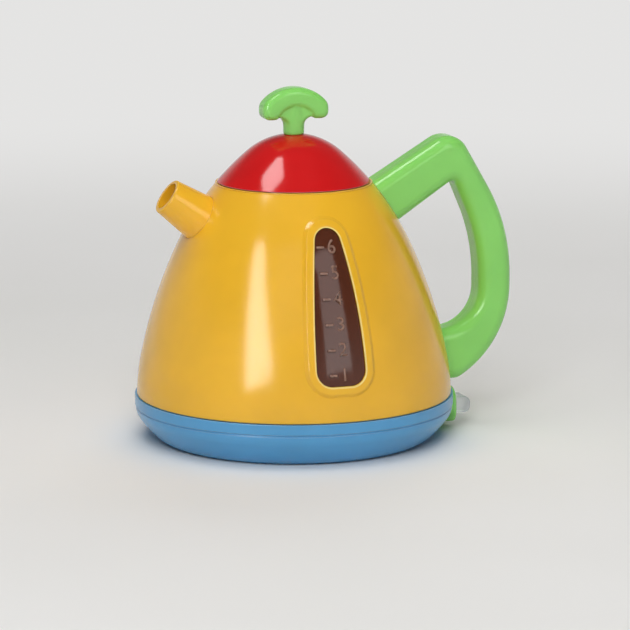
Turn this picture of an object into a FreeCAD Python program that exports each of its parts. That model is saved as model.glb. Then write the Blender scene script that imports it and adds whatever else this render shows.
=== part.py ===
import FreeCAD
import Part
import math
import os

# A toy kettle, in millimetres. +Z is up, the handle points along +X, the spout along -X and the
# window along -Y. The origin is on the kettle's axis, on the flat underside that it stands on.

V = FreeCAD.Vector
ORIGIN = V(0, 0, 0)
UP = V(0, 0, 1)

# Body and lid: one bell-shaped skin of tangent arcs, from the seam with the base to the crown
BAND_RADIUS = 77.7
BAND_STEP = 1.0
SEAM_RADIUS = BAND_RADIUS - BAND_STEP
SEAM_HEIGHT = 22.4
BODY_RISE = 103.3
LID_SEAM_HEIGHT = SEAM_HEIGHT + BODY_RISE
SEAM_LEAN = 1.0
LOWER_RADIUS = BODY_RISE * 0.997
LOWER_TURN = 10.4
MIDDLE_RADIUS = BODY_RISE * 2.352
MIDDLE_TURN = 13.8
SHOULDER_RADIUS = BODY_RISE * 1.307
SHOULDER_TURN = 23.7
WALL = 2.2
BODY_LIP_HEIGHT = 3.0
BODY_LIP_WALL = 1.5
LIP_CLEARANCE = 0.15

# Lid and neck
LID_SEAM_GAP = 0.5
NECK_STEP = 3.6
NECK_WALL = 1.8
NECK_DEPTH = 9.0
LID_CLEARANCE = 0.25
SKIRT_WALL = 1.8
SKIRT_DEPTH = 7.5

# Knob: an arched cap with drooping ends, over a web that narrows to a round stem
KNOB_RISE = 22.5
KNOB_TOP_RADIUS = 20.5
KNOB_HALF_LENGTH = 16.3
KNOB_HALF_WIDTH = 6.0
KNOB_DEPTH = 15.0
KNOB_CAP_THICKNESS = 9.0
KNOB_LOBE = 7.0
KNOB_SHOULDER_ROUND = 5.0
KNOB_LOBE_ROUND = 3.2
KNOB_INNER_ROUND = 1.2
KNOB_EDGE_ROUND = 2.8
KNOB_WEB_STEP = 1.6
KNOB_STEM_RADIUS = 4.9
KNOB_FLARE_RADIUS = 4.6
KNOB_PEG_RADIUS = 0.8
KNOB_PEG_SPACING = 6.2
KNOB_PEG_LENGTH = 1.6

# Base bowl: a straight band above a groove, and a bowl below it
BASE_SEAM_GAP = 0.4
BAND_HEIGHT = 5.0
GROOVE_DEPTH = 0.7
GROOVE_HALF_HEIGHT = 0.5
BELLY_RADIUS = 8.0
BELLY_TURN = 36.0
HEEL_RADIUS = 10.3
HEEL_START = 46.0

# Window in the front of the body, with a raised bezel
WINDOW_TOP = LID_SEAM_HEIGHT - 14.7
WINDOW_BOTTOM = SEAM_HEIGHT + 17.0
WINDOW_TOP_RADIUS = 6.5
WINDOW_CORNER_RADIUS = 7.5
WINDOW_HALF_WIDTH = 12.2
WINDOW_SIDE_RADIUS = 350.0
BEZEL_WIDTH = 4.0
BEZEL_PROUD = 1.3
BEZEL_ROUND = 0.7
PANE_CLEARANCE = 0.12
PANE_PROUD = 0.3
PANE_FLANGE_WIDTH = 3.2
PANE_FLANGE_THICKNESS = 1.5
MARK_COUNT = 6
MARK_TOP = WINDOW_TOP - 8.6
MARK_BOTTOM = WINDOW_BOTTOM + 5.2
MARK_SPACING = (MARK_TOP - MARK_BOTTOM) / (MARK_COUNT - 1)
MARK_HALF_HEIGHT = 0.6
MARK_START_X = -6.0
MARK_LENGTH = 3.8
MARK_PROUD = 0.5

# Spout: a short cone through the shoulder, square to the skin
SPOUT_ROOT_HEIGHT = LID_SEAM_HEIGHT - 14.7
SPOUT_TILT = 35.0
SPOUT_ROOT_RADIUS = 11.4
SPOUT_TIP_RADIUS = 8.9
SPOUT_LENGTH = 19.0
SPOUT_WALL = 1.9
SPOUT_CLEARANCE = 0.1
SPOUT_FLANGE_WIDTH = 2.8
SPOUT_FLANGE_THICKNESS = 1.6
SPOUT_RIM_ROUND = 0.7

# Handle: two hollow halves that meet at y = 0
FINGER_ROOM = 16.0
GRIP_DEPTH = 16.5
HANDLE_REACH = BAND_RADIUS + FINGER_ROOM + GRIP_DEPTH
HANDLE_WIDTH = 20.0
HANDLE_WALL = 2.4
HANDLE_EDGE_ROUND = 6.0
ARM_RISE = 30.8
HOOK_HEIGHT = LID_SEAM_HEIGHT - 11.2
ARM_ABOVE_HOOK = 14.15
PEAK_X = HANDLE_REACH - 29.1
PEAK_ROUND = 11.5
OUTER_SLOPE = 60.0
SHOULDER_SHARE = 0.83
FOOT_SLOPE = 32.0
HEEL_SHARE = 0.9
FOOT_CORNER_X = BAND_RADIUS + 5.3
FOOT_LOW = SEAM_HEIGHT + 1.9
FOOT_CORNER_ROUND = 8.0
ARM_UNDER_RISE = 33.7
ARM_DEPTH = 25.1
INNER_CORNER_INSET = 13.5
INNER_CORNER_X = HANDLE_REACH - GRIP_DEPTH - INNER_CORNER_INSET
INNER_CORNER_ROUND = 2.5
INNER_SLOPE = 67.0
FOOT_TOP = SEAM_HEIGHT + 27.3
INNER_FOOT_SHARE = 0.45
INNER_SHOULDER_SHARE = 0.785
HANDLE_SEAT_GAP = 0.05
TONGUE_WIDTH = 6.0
TONGUE_Y = 4.4
TONGUE_HEIGHT = 6.0
TONGUE_CLEARANCE = 0.2
HOOK_LENGTH = 7.0
HOOK_DROP = 3.0
FOOT_TONGUE_HEIGHT = SEAM_HEIGHT + 11.6
TONGUE_ROOT = 1.0
FOOT_TONGUE_LENGTH = 17.0
FOOT_SCREW_INSET = 12.5
FOOT_BOSS_HEIGHT = 12.0

# Screws: one self-tapping size everywhere
SCREW_RADIUS = 1.4
SCREW_HEAD_RADIUS = 2.7
SCREW_HEAD_HEIGHT = 1.8
SCREW_HOLE_CLEARANCE = 0.2
BOSS_RADIUS = 3.6
COUNTERBORE_RADIUS = 3.1
SCREW_END_GAP = 0.4

# Posts that carry the body on the base
POST_RING_RADIUS = BAND_RADIUS - 19.7
POST_COUNT = 4
POST_TURN = 45.0
POST_HEAD_HEIGHT = 9.0
POST_WALL = 1.5
BODY_BOSS_HEIGHT = 12.0
RIB_WALL = 1.8
DECK_THICKNESS = 2.0
DECK_CLEARANCE = 0.35

# Battery bay in the base, for two AA cells side by side
CELL_RADIUS = 7.2
CELL_LENGTH = 49.0
CELL_NUB_RADIUS = 2.7
CELL_NUB_LENGTH = 1.4
CELL_GAP = 0.6
BAY_X = 45.7 - BAND_RADIUS
BAY_WALL = 1.8
BAY_END_ROOM = 1.6
DOOR_THICKNESS = 2.0
DOOR_CLEARANCE = 0.25
DOOR_MARGIN = 2.4
DOOR_SCREW_REACH = 7.0
DOOR_SCREW_SINK = 0.1
CONTACT_THICKNESS = 0.5
CONTACT_RADIUS = 4.2

# Loudspeaker on the floor of the base
SPEAKER_X = BAND_RADIUS - 50.7
SPEAKER_RADIUS = 18.0
SPEAKER_FRAME_HEIGHT = 4.2
SPEAKER_FRAME_WALL = 0.7
MAGNET_RADIUS = 9.0
MAGNET_HEIGHT = 5.0
MAGNET_CHAMFER = 0.4
CONE_RADIUS = 15.5
CONE_THICKNESS = 0.6
CONE_GAP = 0.4
SPEAKER_CLEARANCE = 0.2
SPEAKER_RING_WALL = 1.5
SPEAKER_RING_HEIGHT = 5.5
GRILLE_SLOTS = 5
GRILLE_PITCH = 5.0
GRILLE_SLOT_WIDTH = 2.0

# Switch at the foot of the handle: a clear lever in a collar
SWITCH_HEIGHT = 10.25
COLLAR_FACE_X = BAND_RADIUS + 2.3
COLLAR_HALF_WIDTH = 10.5
COLLAR_HALF_HEIGHT = 7.25
COLLAR_CORNER = 6.5
COLLAR_EDGE_ROUND = 1.2
COLLAR_CLEARANCE = 0.15
LEVER_TIP_X = COLLAR_FACE_X + 9.8
LEVER_HALF_WIDTH = 6.0
LEVER_TOP = 14.7
LEVER_BOTTOM = 6.6
LEVER_TIP_ROUND = 3.2
LEVER_SIDE_GAP = 0.4
LEVER_EDGE_ROUND = 1.0
LEVER_ROOT_ROUND = 1.5
PRESS_ROOM = 2.2
PIVOT_X = BAND_RADIUS - 6.2
PIVOT_HEIGHT = 10.6
PIN_RADIUS = 1.25
PIN_CLEARANCE = 0.06
PIN_HALF_LENGTH = 8.4
PLATE_X = BAND_RADIUS - 12.3
PLATE_THICKNESS = 1.6
PLATE_HALF_WIDTH = 14.5
PLATE_TOP = SEAM_HEIGHT - 2.4
TAIL_END_X = PLATE_X - 9.9
TAIL_HALF_WIDTH = 2.6
TAIL_TOP = 10.7
TAIL_BOTTOM = 7.6
TACT_X = TAIL_END_X + 2.0
TACT_SIDE = 6.0
TACT_HEIGHT = 3.6
TACT_BUTTON_RADIUS = 1.7
TACT_BUTTON_HEIGHT = 0.5
SPRING_SIDE_GAP = 0.3
SPRING_RADIUS = 1.7
SPRING_WIRE = 0.25
SPRING_WIRE_SIDES = 8
SPRING_TURNS = 4

# Circuit board above the lever's tail
BOARD_HEIGHT = SEAM_HEIGHT - 5.2
BOARD_THICKNESS = 1.6
BOARD_START_X = PLATE_X - 18.4
BOARD_HALF_WIDTH = 15.0
BOARD_POST_X = BOARD_START_X + 3.0
BOARD_POST_Y = 11.5
BOARD_POST_RADIUS = 2.8
CHIP_X = BOARD_START_X + 4.0
CHIP_RADIUS = 4.5
CHIP_HEIGHT = 1.3
LED_RADIUS = 1.5
LED_LENGTH = 4.5
LED_Y = 4.6
LED_DROP = 2.2
LED_LEAD_RADIUS = 0.25

# How far a cutting tool runs past the face it cuts through
OVERRUN = 1.0


# Shapes from outlines
def box(x1, x2, y1, y2, z1, z2):
    return Part.makeBox(x2 - x1, y2 - y1, z2 - z1, V(x1, y1, z1))


def rod(radius, length, x, y, z, axis=UP):
    return Part.makeCylinder(radius, length, V(x, y, z), axis)


def fuse(shapes):
    """One solid from shapes that touch or overlap."""
    return shapes[0].multiFuse(shapes[1:]).removeSplitter()


def cut(shape, tools):
    """The shape with every tool taken out of it."""
    return shape.cut(Part.Compound(tools))


def rounded_outline(corners):
    """A closed wire in the XZ plane through corners (x, z, radius of the corner's arc)."""
    points = [V(x, 0, z) for x, z, _ in corners]
    pieces = []
    ends = []
    for index, (_, _, radius) in enumerate(corners):
        here = points[index]
        back = (points[index - 1] - here).normalize()
        ahead = (points[(index + 1) % len(points)] - here).normalize()
        if radius == 0:
            ends.append((here, here))
            continue
        half_angle = back.getAngle(ahead) / 2
        reach = radius / math.tan(half_angle)
        inward = (back + ahead).normalize()
        middle = here + inward * (radius / math.sin(half_angle) - radius)
        ends.append((here + back * reach, here + ahead * reach))
        pieces.append(Part.Arc(ends[-1][0], middle, ends[-1][1]).toShape())
    for index, (_, last) in enumerate(ends):
        following = ends[(index + 1) % len(ends)][0]
        pieces.append(Part.makeLine(last, following))
    return Part.Wire(Part.__sortEdges__(pieces))


def prism_y(wire, y1, y2):
    """A wire of the XZ plane, filled and extruded from y1 to y2."""
    solid = Part.Face(wire).extrude(V(0, y2 - y1, 0))
    solid.translate(V(0, y1, 0))
    return solid


def prism_x(corners, x1, x2):
    """Corners (y, z, radius), filled and extruded from x1 to x2."""
    solid = prism_y(rounded_outline(corners), -x2, -x1)
    solid.rotate(ORIGIN, UP, 90)
    return solid


def rectangle(half_width, half_height, centre_height, corner):
    """Corners of a rounded rectangle, centred across."""
    low = centre_height - half_height
    high = centre_height + half_height
    return [(-half_width, low, corner), (half_width, low, corner),
            (half_width, high, corner), (-half_width, high, corner)]


def turned(edges):
    """Edges of a closed outline in the XZ plane, turned about the axis."""
    return Part.Face(Part.Wire(Part.__sortEdges__(edges))).revolve(ORIGIN, UP, 360)


def arc_edge(centre_x, centre_z, radius, start, end):
    """An arc in the XZ plane, between two angles above the X axis."""
    def at(angle):
        return V(centre_x + radius * math.cos(angle), 0, centre_z + radius * math.sin(angle))
    return Part.Arc(at(start), at((start + end) / 2), at(end)).toShape()


# The bell-shaped skin of the body and lid
def skin_arcs(inset):
    """Arcs (centre x, centre z, radius, start, end) of the skin, moved inwards by inset."""
    x = SEAM_RADIUS
    z = SEAM_HEIGHT
    lean = math.radians(SEAM_LEAN)
    arcs = []
    turns = ((LOWER_RADIUS, LOWER_TURN), (MIDDLE_RADIUS, MIDDLE_TURN), (SHOULDER_RADIUS, SHOULDER_TURN))
    for radius, turn in turns:
        end = lean + math.radians(turn)
        centre_x = x - radius * math.cos(lean)
        centre_z = z - radius * math.sin(lean)
        arcs.append((centre_x, centre_z, radius - inset, lean, end))
        x = centre_x + radius * math.cos(end)
        z = centre_z + radius * math.sin(end)
        lean = end
    crown_radius = x / math.cos(lean)
    crown_centre = z - crown_radius * math.sin(lean)
    arcs.append((0, crown_centre, crown_radius - inset, lean, math.pi / 2))
    return arcs


def crown_height(inset=0):
    _, centre, radius, _, _ = skin_arcs(inset)[-1]
    return centre + radius


def skin_edges(inset, low, high):
    """The skin's arcs between two heights, the last one ending on the axis if high is the crown."""
    edges = []
    arcs = skin_arcs(inset)
    for index, (centre_x, centre_z, radius, start, end) in enumerate(arcs):
        if centre_z + radius * math.sin(end) <= low or centre_z + radius * math.sin(start) >= high:
            continue
        lowest = math.asin(max(-1, (low - centre_z) / radius))
        start = lowest if index == 0 else max(start, lowest)
        if centre_z + radius * math.sin(end) > high:
            end = math.asin((high - centre_z) / radius)
        edges.append(arc_edge(centre_x, centre_z, radius, start, end))
    return edges


def skin_radius(height, inset=0):
    """Radius of the skin at a height."""
    for centre_x, centre_z, radius, _, end in skin_arcs(inset):
        if height <= centre_z + radius * math.sin(end):
            return centre_x + math.sqrt(radius ** 2 - (height - centre_z) ** 2)
    return 0


def skin_core(inset, low, high):
    """The solid inside the skin, between two heights."""
    high = min(high, crown_height(inset))
    edges = skin_edges(inset, low, high)
    edges.append(Part.makeLine(V(skin_radius(low, inset), 0, low), V(0, 0, low)))
    edges.append(Part.makeLine(V(0, 0, low), V(0, 0, high)))
    if high < crown_height(inset):
        edges.append(Part.makeLine(V(0, 0, high), V(skin_radius(high, inset), 0, high)))
    return turned(edges)


def skin_shell(outer, inner, low, high):
    """The layer between two insets of the skin."""
    return skin_core(outer, low, high).cut(skin_core(inner, low, high))


# The screws
def screw(x, y, z, axis, length):
    """A pan-head screw whose head seats at a point and whose shank points along the axis."""
    direction = V(axis).normalize()
    seat = V(x, y, z)
    head_start = seat - direction * SCREW_HEAD_HEIGHT
    head = Part.makeCylinder(SCREW_HEAD_RADIUS, SCREW_HEAD_HEIGHT, head_start, direction)
    shank = Part.makeCylinder(SCREW_RADIUS, length, seat, direction)
    slot_depth = SCREW_HEAD_HEIGHT * 0.6
    return fuse([head, shank]).cut(cross_slot(head_start, direction, slot_depth))


def cross_slot(start, direction, depth):
    """The cross recess in a screw's head."""
    arms = []
    reach = SCREW_HEAD_RADIUS * 0.62
    half = SCREW_HEAD_RADIUS * 0.13
    for turn in (0, 90):
        arm = box(-reach, reach, -half, half, -depth, depth)
        arm.rotate(ORIGIN, UP, turn)
        arms.append(arm)
    cross = arms[0].fuse(arms[1])
    cross.Placement = FreeCAD.Placement(start, FreeCAD.Rotation(UP, direction))
    return cross


def post_places():
    """Where the four base posts stand."""
    step = 360 / POST_COUNT
    turns = [math.radians(POST_TURN + step * index) for index in range(POST_COUNT)]
    return [(POST_RING_RADIUS * math.cos(turn), POST_RING_RADIUS * math.sin(turn)) for turn in turns]


def neck_radius():
    return skin_radius(LID_SEAM_HEIGHT) - NECK_STEP


# The window in the front of the body
def window_outline(grow):
    """The window's outline, made larger all round by grow: round top, rounded foot, bowed sides."""
    top = V(0, 0, WINDOW_TOP - WINDOW_TOP_RADIUS)
    corner_x = WINDOW_HALF_WIDTH - WINDOW_CORNER_RADIUS
    corner_z = WINDOW_BOTTOM + WINDOW_CORNER_RADIUS
    corner = V(corner_x, 0, corner_z)
    to_top = WINDOW_SIDE_RADIUS - WINDOW_TOP_RADIUS
    to_corner = WINDOW_SIDE_RADIUS - WINDOW_CORNER_RADIUS
    span = (top - corner).Length
    along = (to_corner ** 2 - to_top ** 2 + span ** 2) / (2 * span)
    aside = math.sqrt(to_corner ** 2 - along ** 2)
    direction = (top - corner).normalize()
    side_centre = corner + direction * along + V(-direction.z, 0, direction.x) * aside
    upper = (top - side_centre).normalize()
    lower = (corner - side_centre).normalize()
    side_radius = WINDOW_SIDE_RADIUS + grow
    upper_end = side_centre + upper * side_radius
    lower_end = side_centre + lower * side_radius
    side_middle = side_centre + (upper + lower).normalize() * side_radius
    peak = V(0, 0, WINDOW_TOP + grow)
    foot = V(corner_x, 0, WINDOW_BOTTOM - grow)
    bend = (lower + V(0, 0, -1)).normalize()
    corner_middle = corner + bend * (WINDOW_CORNER_RADIUS + grow)

    def flip(point):
        return V(-point.x, 0, point.z)

    edges = [
        Part.Arc(upper_end, peak, flip(upper_end)).toShape(),
        Part.Arc(lower_end, side_middle, upper_end).toShape(),
        Part.Arc(foot, corner_middle, lower_end).toShape(),
        Part.makeLine(flip(foot), foot),
        Part.Arc(flip(foot), flip(corner_middle), flip(lower_end)).toShape(),
        Part.Arc(flip(lower_end), flip(side_middle), flip(upper_end)).toShape(),
    ]
    return Part.Wire(Part.__sortEdges__(edges))


def window_prism(grow):
    return prism_y(window_outline(grow), -SEAM_RADIUS * 1.2, -SEAM_RADIUS * 0.3)


def window_layer(outer, inner, grow):
    """The layer between two insets of the skin, inside the window's outline."""
    low = WINDOW_BOTTOM - grow - WALL
    high = WINDOW_TOP + grow + WALL
    return skin_shell(outer, inner, low, high).common(window_prism(grow))


def bezel():
    """The raised frame round the window, with softened edges."""
    frame = window_layer(-BEZEL_PROUD, WALL / 2, BEZEL_WIDTH)
    frame = frame.cut(window_prism(0))
    rims = []
    for edge in frame.Edges:
        middle = edge.valueAt((edge.FirstParameter + edge.LastParameter) / 2)
        beyond = math.hypot(middle.x, middle.y) - skin_radius(middle.z)
        lies_along_face = edge.Length > BEZEL_PROUD * 2
        if lies_along_face and beyond > BEZEL_PROUD / 2:
            rims.append(edge)
    return frame.makeFillet(BEZEL_ROUND, rims)


def window_pane():
    """The tinted pane: a flange behind the wall, a face that fills the opening, raised marks."""
    back = WALL + PANE_CLEARANCE + PANE_FLANGE_THICKNESS
    flange = window_layer(WALL + PANE_CLEARANCE, back, PANE_FLANGE_WIDTH)
    face = window_layer(-PANE_PROUD, back, -PANE_CLEARANCE)
    marks = []
    for index in range(MARK_COUNT):
        height = MARK_TOP - MARK_SPACING * index
        layer = skin_shell(-PANE_PROUD - MARK_PROUD, 0, height - MARK_HALF_HEIGHT, height + MARK_HALF_HEIGHT)
        marks.append(layer.common(box(MARK_START_X, MARK_START_X + MARK_LENGTH, -SEAM_RADIUS * 1.2, 0, 0, WINDOW_TOP)))
    return fuse([flange, face] + marks)


# The spout
def spout_frame(shape):
    """Moves a shape made along +Z from the origin onto the spout's axis, at the skin."""
    tilt = math.radians(SPOUT_TILT)
    direction = V(-math.cos(tilt), 0, math.sin(tilt))
    place = V(-skin_radius(SPOUT_ROOT_HEIGHT), 0, SPOUT_ROOT_HEIGHT)
    shape.Placement = FreeCAD.Placement(place, FreeCAD.Rotation(UP, direction))
    return shape


def spout_cone(grow, below, above):
    """The spout's outer cone, from below the skin to above it, grown by a clearance."""
    taper = (SPOUT_ROOT_RADIUS - SPOUT_TIP_RADIUS) / SPOUT_LENGTH
    low_radius = SPOUT_ROOT_RADIUS + taper * below + grow
    high_radius = SPOUT_ROOT_RADIUS - taper * above + grow
    return Part.makeCone(low_radius, high_radius, below + above, V(0, 0, -below))


def spout():
    """A tapered tube through the wall, with a flange that lies behind it."""
    depth = WALL + SPOUT_FLANGE_THICKNESS + SPOUT_ROOT_RADIUS
    outer = spout_cone(0, depth, SPOUT_LENGTH)
    tip = [edge for edge in outer.Edges if edge.BoundBox.ZMin > SPOUT_LENGTH * 0.9]
    outer = outer.makeFillet(SPOUT_RIM_ROUND, tip)
    outer = spout_frame(outer)
    bore = spout_frame(spout_cone(-SPOUT_WALL, depth + OVERRUN, SPOUT_LENGTH + OVERRUN))
    back = WALL + SPOUT_CLEARANCE + SPOUT_FLANGE_THICKNESS
    low = SPOUT_ROOT_HEIGHT - SPOUT_ROOT_RADIUS * 2
    high = SPOUT_ROOT_HEIGHT + SPOUT_ROOT_RADIUS * 2
    inside = skin_core(back, low, high)
    disc = spout_frame(rod(SPOUT_ROOT_RADIUS + SPOUT_FLANGE_WIDTH, depth * 2, 0, 0, -depth))
    flange = skin_shell(WALL + SPOUT_CLEARANCE, back, low, high).common(disc)
    return fuse([outer.cut(inside), flange]).cut(bore)


# The lid and its knob
def lid():
    """The domed lid, with a skirt that drops into the neck and a boss for the knob's screw."""
    low = LID_SEAM_HEIGHT + LID_SEAM_GAP
    dome = skin_shell(0, WALL, low, crown_height() + OVERRUN)
    skirt_radius = neck_radius() - LID_CLEARANCE
    skirt_low = LID_SEAM_HEIGHT - SKIRT_DEPTH
    skirt = rod(skirt_radius, low + WALL - skirt_low, 0, 0, skirt_low)
    skirt = skirt.cut(rod(skirt_radius - SKIRT_WALL, low + WALL, 0, 0, 0))
    rest = rod(skin_radius(low, WALL) + WALL / 2, WALL, 0, 0, low)
    rest = rest.cut(rod(skirt_radius - SKIRT_WALL, low + WALL, 0, 0, 0))
    inside = crown_height(WALL)
    boss_height = BOSS_RADIUS * 1.5
    boss = rod(BOSS_RADIUS, boss_height + WALL / 2, 0, 0, inside - boss_height)
    hole = rod(SCREW_RADIUS + SCREW_HOLE_CLEARANCE, crown_height(), 0, 0, 0)
    pegs = [rod(KNOB_PEG_RADIUS + KNOB_PEG_RADIUS / 8, WALL * 2, side * KNOB_PEG_SPACING / 2, 0, inside)
            for side in (-1, 1)]
    solid = fuse([dome, skirt, rest.common(skin_core(0, low, crown_height() + OVERRUN)), boss])
    return cut(solid, [hole] + pegs)


def knob_top():
    return crown_height() + KNOB_RISE


def knob_cap():
    """The arched cap, a rounded bar with its ends turned down, with softened edges."""
    top = knob_top()
    low = top - KNOB_DEPTH
    side_drop = KNOB_TOP_RADIUS - math.sqrt(KNOB_TOP_RADIUS ** 2 - KNOB_HALF_LENGTH ** 2)
    side = V(KNOB_HALF_LENGTH, 0, top - side_drop)
    foot = V(KNOB_HALF_LENGTH, 0, low)
    heel = V(KNOB_HALF_LENGTH - KNOB_LOBE, 0, low)

    def flip(point):
        return V(-point.x, 0, point.z)

    wire = Part.Wire(Part.__sortEdges__([
        Part.Arc(flip(side), V(0, 0, top), side).toShape(),
        Part.makeLine(side, foot),
        Part.makeLine(foot, heel),
        Part.Arc(heel, V(0, 0, top - KNOB_CAP_THICKNESS), flip(heel)).toShape(),
        Part.makeLine(flip(heel), flip(foot)),
        Part.makeLine(flip(foot), flip(side)),
    ]))
    cap = prism_y(wire, -KNOB_HALF_WIDTH, KNOB_HALF_WIDTH)
    for corner, radius in ((side, KNOB_SHOULDER_ROUND), (foot, KNOB_LOBE_ROUND), (heel, KNOB_INNER_ROUND)):
        cross = [edge for edge in cap.Edges
                 if edge.BoundBox.YLength > KNOB_HALF_WIDTH
                 and math.hypot(abs(edge.CenterOfMass.x) - corner.x, edge.CenterOfMass.z - corner.z) < 0.01]
        cap = cap.makeFillet(radius, cross)
    faces = [edge for edge in cap.Edges if abs(abs(edge.CenterOfMass.y) - KNOB_HALF_WIDTH) < 0.01]
    return cap.makeFillet(KNOB_EDGE_ROUND, faces)


def knob():
    """The cap, the web that fills it a step behind its rim, and the stem with its pegs."""
    flare_high = knob_top() - KNOB_DEPTH + KNOB_INNER_ROUND
    flare_low = flare_high - KNOB_FLARE_RADIUS
    flare_x = KNOB_STEM_RADIUS + KNOB_FLARE_RADIUS
    web_top = knob_top() - KNOB_CAP_THICKNESS / 2
    web_half = KNOB_HALF_WIDTH - KNOB_WEB_STEP
    bottom = crown_height(WALL)
    stem = turned([
        Part.makeLine(V(0, 0, bottom), V(KNOB_STEM_RADIUS, 0, bottom)),
        Part.makeLine(V(KNOB_STEM_RADIUS, 0, bottom), V(KNOB_STEM_RADIUS, 0, flare_low)),
        arc_edge(flare_x, flare_low, KNOB_FLARE_RADIUS, math.pi, math.pi / 2),
        Part.makeLine(V(flare_x, 0, flare_high), V(flare_x, 0, web_top)),
        Part.makeLine(V(flare_x, 0, web_top), V(0, 0, web_top)),
        Part.makeLine(V(0, 0, web_top), V(0, 0, bottom)),
    ])
    web_room = box(-flare_x, flare_x, -web_half, web_half, flare_low, web_top)
    foot_room = rod(KNOB_STEM_RADIUS, web_top - bottom, 0, 0, bottom)
    stem = stem.common(web_room.fuse(foot_room))
    stem = stem.cut(skin_core(0, LID_SEAM_HEIGHT, crown_height() + OVERRUN))
    solid = fuse([knob_cap(), stem])
    pegs = []
    for side in (-1, 1):
        x = side * KNOB_PEG_SPACING / 2
        pegs.append(rod(KNOB_PEG_RADIUS, KNOB_PEG_LENGTH * 2, x, 0, crown_height() - KNOB_PEG_LENGTH))
    pilot = rod(SCREW_RADIUS, knob_screw_length() + SCREW_END_GAP, 0, 0, crown_height(WALL) - BOSS_RADIUS * 1.5)
    return fuse([solid] + pegs).cut(pilot)


def knob_screw_length():
    return BOSS_RADIUS * 1.5 + WALL + KNOB_RISE * 0.37


def knob_screw():
    seat = crown_height(WALL) - BOSS_RADIUS * 1.5
    return screw(0, 0, seat, UP, knob_screw_length())


# The handle
def line_crossing(x1, z1, angle1, x2, z2, angle2):
    """Where two lines of the XZ plane cross, each given by a point and its angle in degrees."""
    dx1 = math.cos(math.radians(angle1))
    dz1 = math.sin(math.radians(angle1))
    dx2 = math.cos(math.radians(angle2))
    dz2 = math.sin(math.radians(angle2))
    step = ((x2 - x1) * dz2 - (z2 - z1) * dx2) / (dx1 * dz2 - dz1 * dx2)
    return x1 + step * dx1, z1 + step * dz1


def arm_top(x):
    """Height of the arm's top line at an x: it clears the hook by a set height."""
    return HOOK_HEIGHT + ARM_ABOVE_HOOK + (x - skin_radius(HOOK_HEIGHT)) * math.tan(math.radians(ARM_RISE))


def inner_corner_height():
    return arm_top(INNER_CORNER_X) - ARM_DEPTH


def bend_radius(reach, slope):
    """Radius that turns a slope into an upright within a reach along each line."""
    return reach / math.tan(math.radians(90 - slope) / 2)


def handle_outline():
    """The handle's side view: a rising arm, a rounded peak, a bowed grip and a foot."""
    inner_x = HANDLE_REACH - GRIP_DEPTH
    root_x = SEAM_RADIUS * 0.4
    foot_root_x = SEAM_RADIUS * 0.8
    inner_z = inner_corner_height()
    shoulder = line_crossing(PEAK_X, arm_top(PEAK_X), -OUTER_SLOPE, HANDLE_REACH, 0, 90)
    heel = line_crossing(FOOT_CORNER_X, FOOT_LOW, FOOT_SLOPE, HANDLE_REACH, 0, 90)
    inner_shoulder = line_crossing(INNER_CORNER_X, inner_z, -INNER_SLOPE, inner_x, 0, 90)
    under = line_crossing(INNER_CORNER_X, inner_z, ARM_UNDER_RISE, root_x, 0, 90)
    heel_reach = HEEL_SHARE * math.hypot(heel[0] - FOOT_CORNER_X, heel[1] - FOOT_LOW)
    shoulder_reach = SHOULDER_SHARE * (shoulder[1] - heel[1] - heel_reach)
    inner_foot_reach = INNER_FOOT_SHARE * (inner_shoulder[1] - FOOT_TOP)
    inner_shoulder_reach = INNER_SHOULDER_SHARE * (inner_shoulder[1] - FOOT_TOP - inner_foot_reach)
    return [
        (root_x, arm_top(root_x), 0),
        (PEAK_X, arm_top(PEAK_X), PEAK_ROUND),
        (shoulder[0], shoulder[1], bend_radius(shoulder_reach, OUTER_SLOPE)),
        (heel[0], heel[1], bend_radius(heel_reach, FOOT_SLOPE)),
        (FOOT_CORNER_X, FOOT_LOW, FOOT_CORNER_ROUND),
        (foot_root_x, FOOT_LOW, 0),
        (foot_root_x, FOOT_TOP, 0),
        (inner_x, FOOT_TOP, inner_foot_reach),
        (inner_shoulder[0], inner_shoulder[1], bend_radius(inner_shoulder_reach, INNER_SLOPE)),
        (INNER_CORNER_X, inner_z, INNER_CORNER_ROUND),
        (under[0], under[1], 0),
    ]


def handle_loop(inset):
    """The handle as one solid with soft edges, made smaller all round by inset."""
    wire = rounded_outline(handle_outline())
    if inset:
        wire = Part.Face(wire).makeOffset2D(-inset).OuterWire
    half = HANDLE_WIDTH / 2 - inset
    solid = prism_y(wire, -half, half)
    round_radius = HANDLE_EDGE_ROUND - inset
    inner_limit = SEAM_RADIUS * 0.8
    long_edges = []
    for edge in solid.Edges:
        on_face = abs(abs(edge.CenterOfMass.y) - half) < 0.01 and edge.BoundBox.YLength < 0.01
        inside_body = edge.BoundBox.XLength < 0.01 and edge.BoundBox.XMax < inner_limit + inset + 0.01
        if on_face and not inside_body:
            long_edges.append(edge)
    return solid.makeFillet(round_radius, long_edges)


def handle_screw_places():
    """Where the screws that join the halves stand, in the XZ plane."""
    arm_x = PEAK_X - PEAK_ROUND
    arm_z = arm_top(arm_x) - GRIP_DEPTH * 0.72
    grip_x = HANDLE_REACH - GRIP_DEPTH / 2
    grip_z = (FOOT_TOP + inner_corner_height()) / 2
    foot_x = HANDLE_REACH - GRIP_DEPTH * 1.15
    foot_z = FOOT_LOW + GRIP_DEPTH * 1.05
    return [(arm_x, arm_z), (grip_x - SCREW_END_GAP, grip_z), (foot_x, foot_z)]


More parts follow.
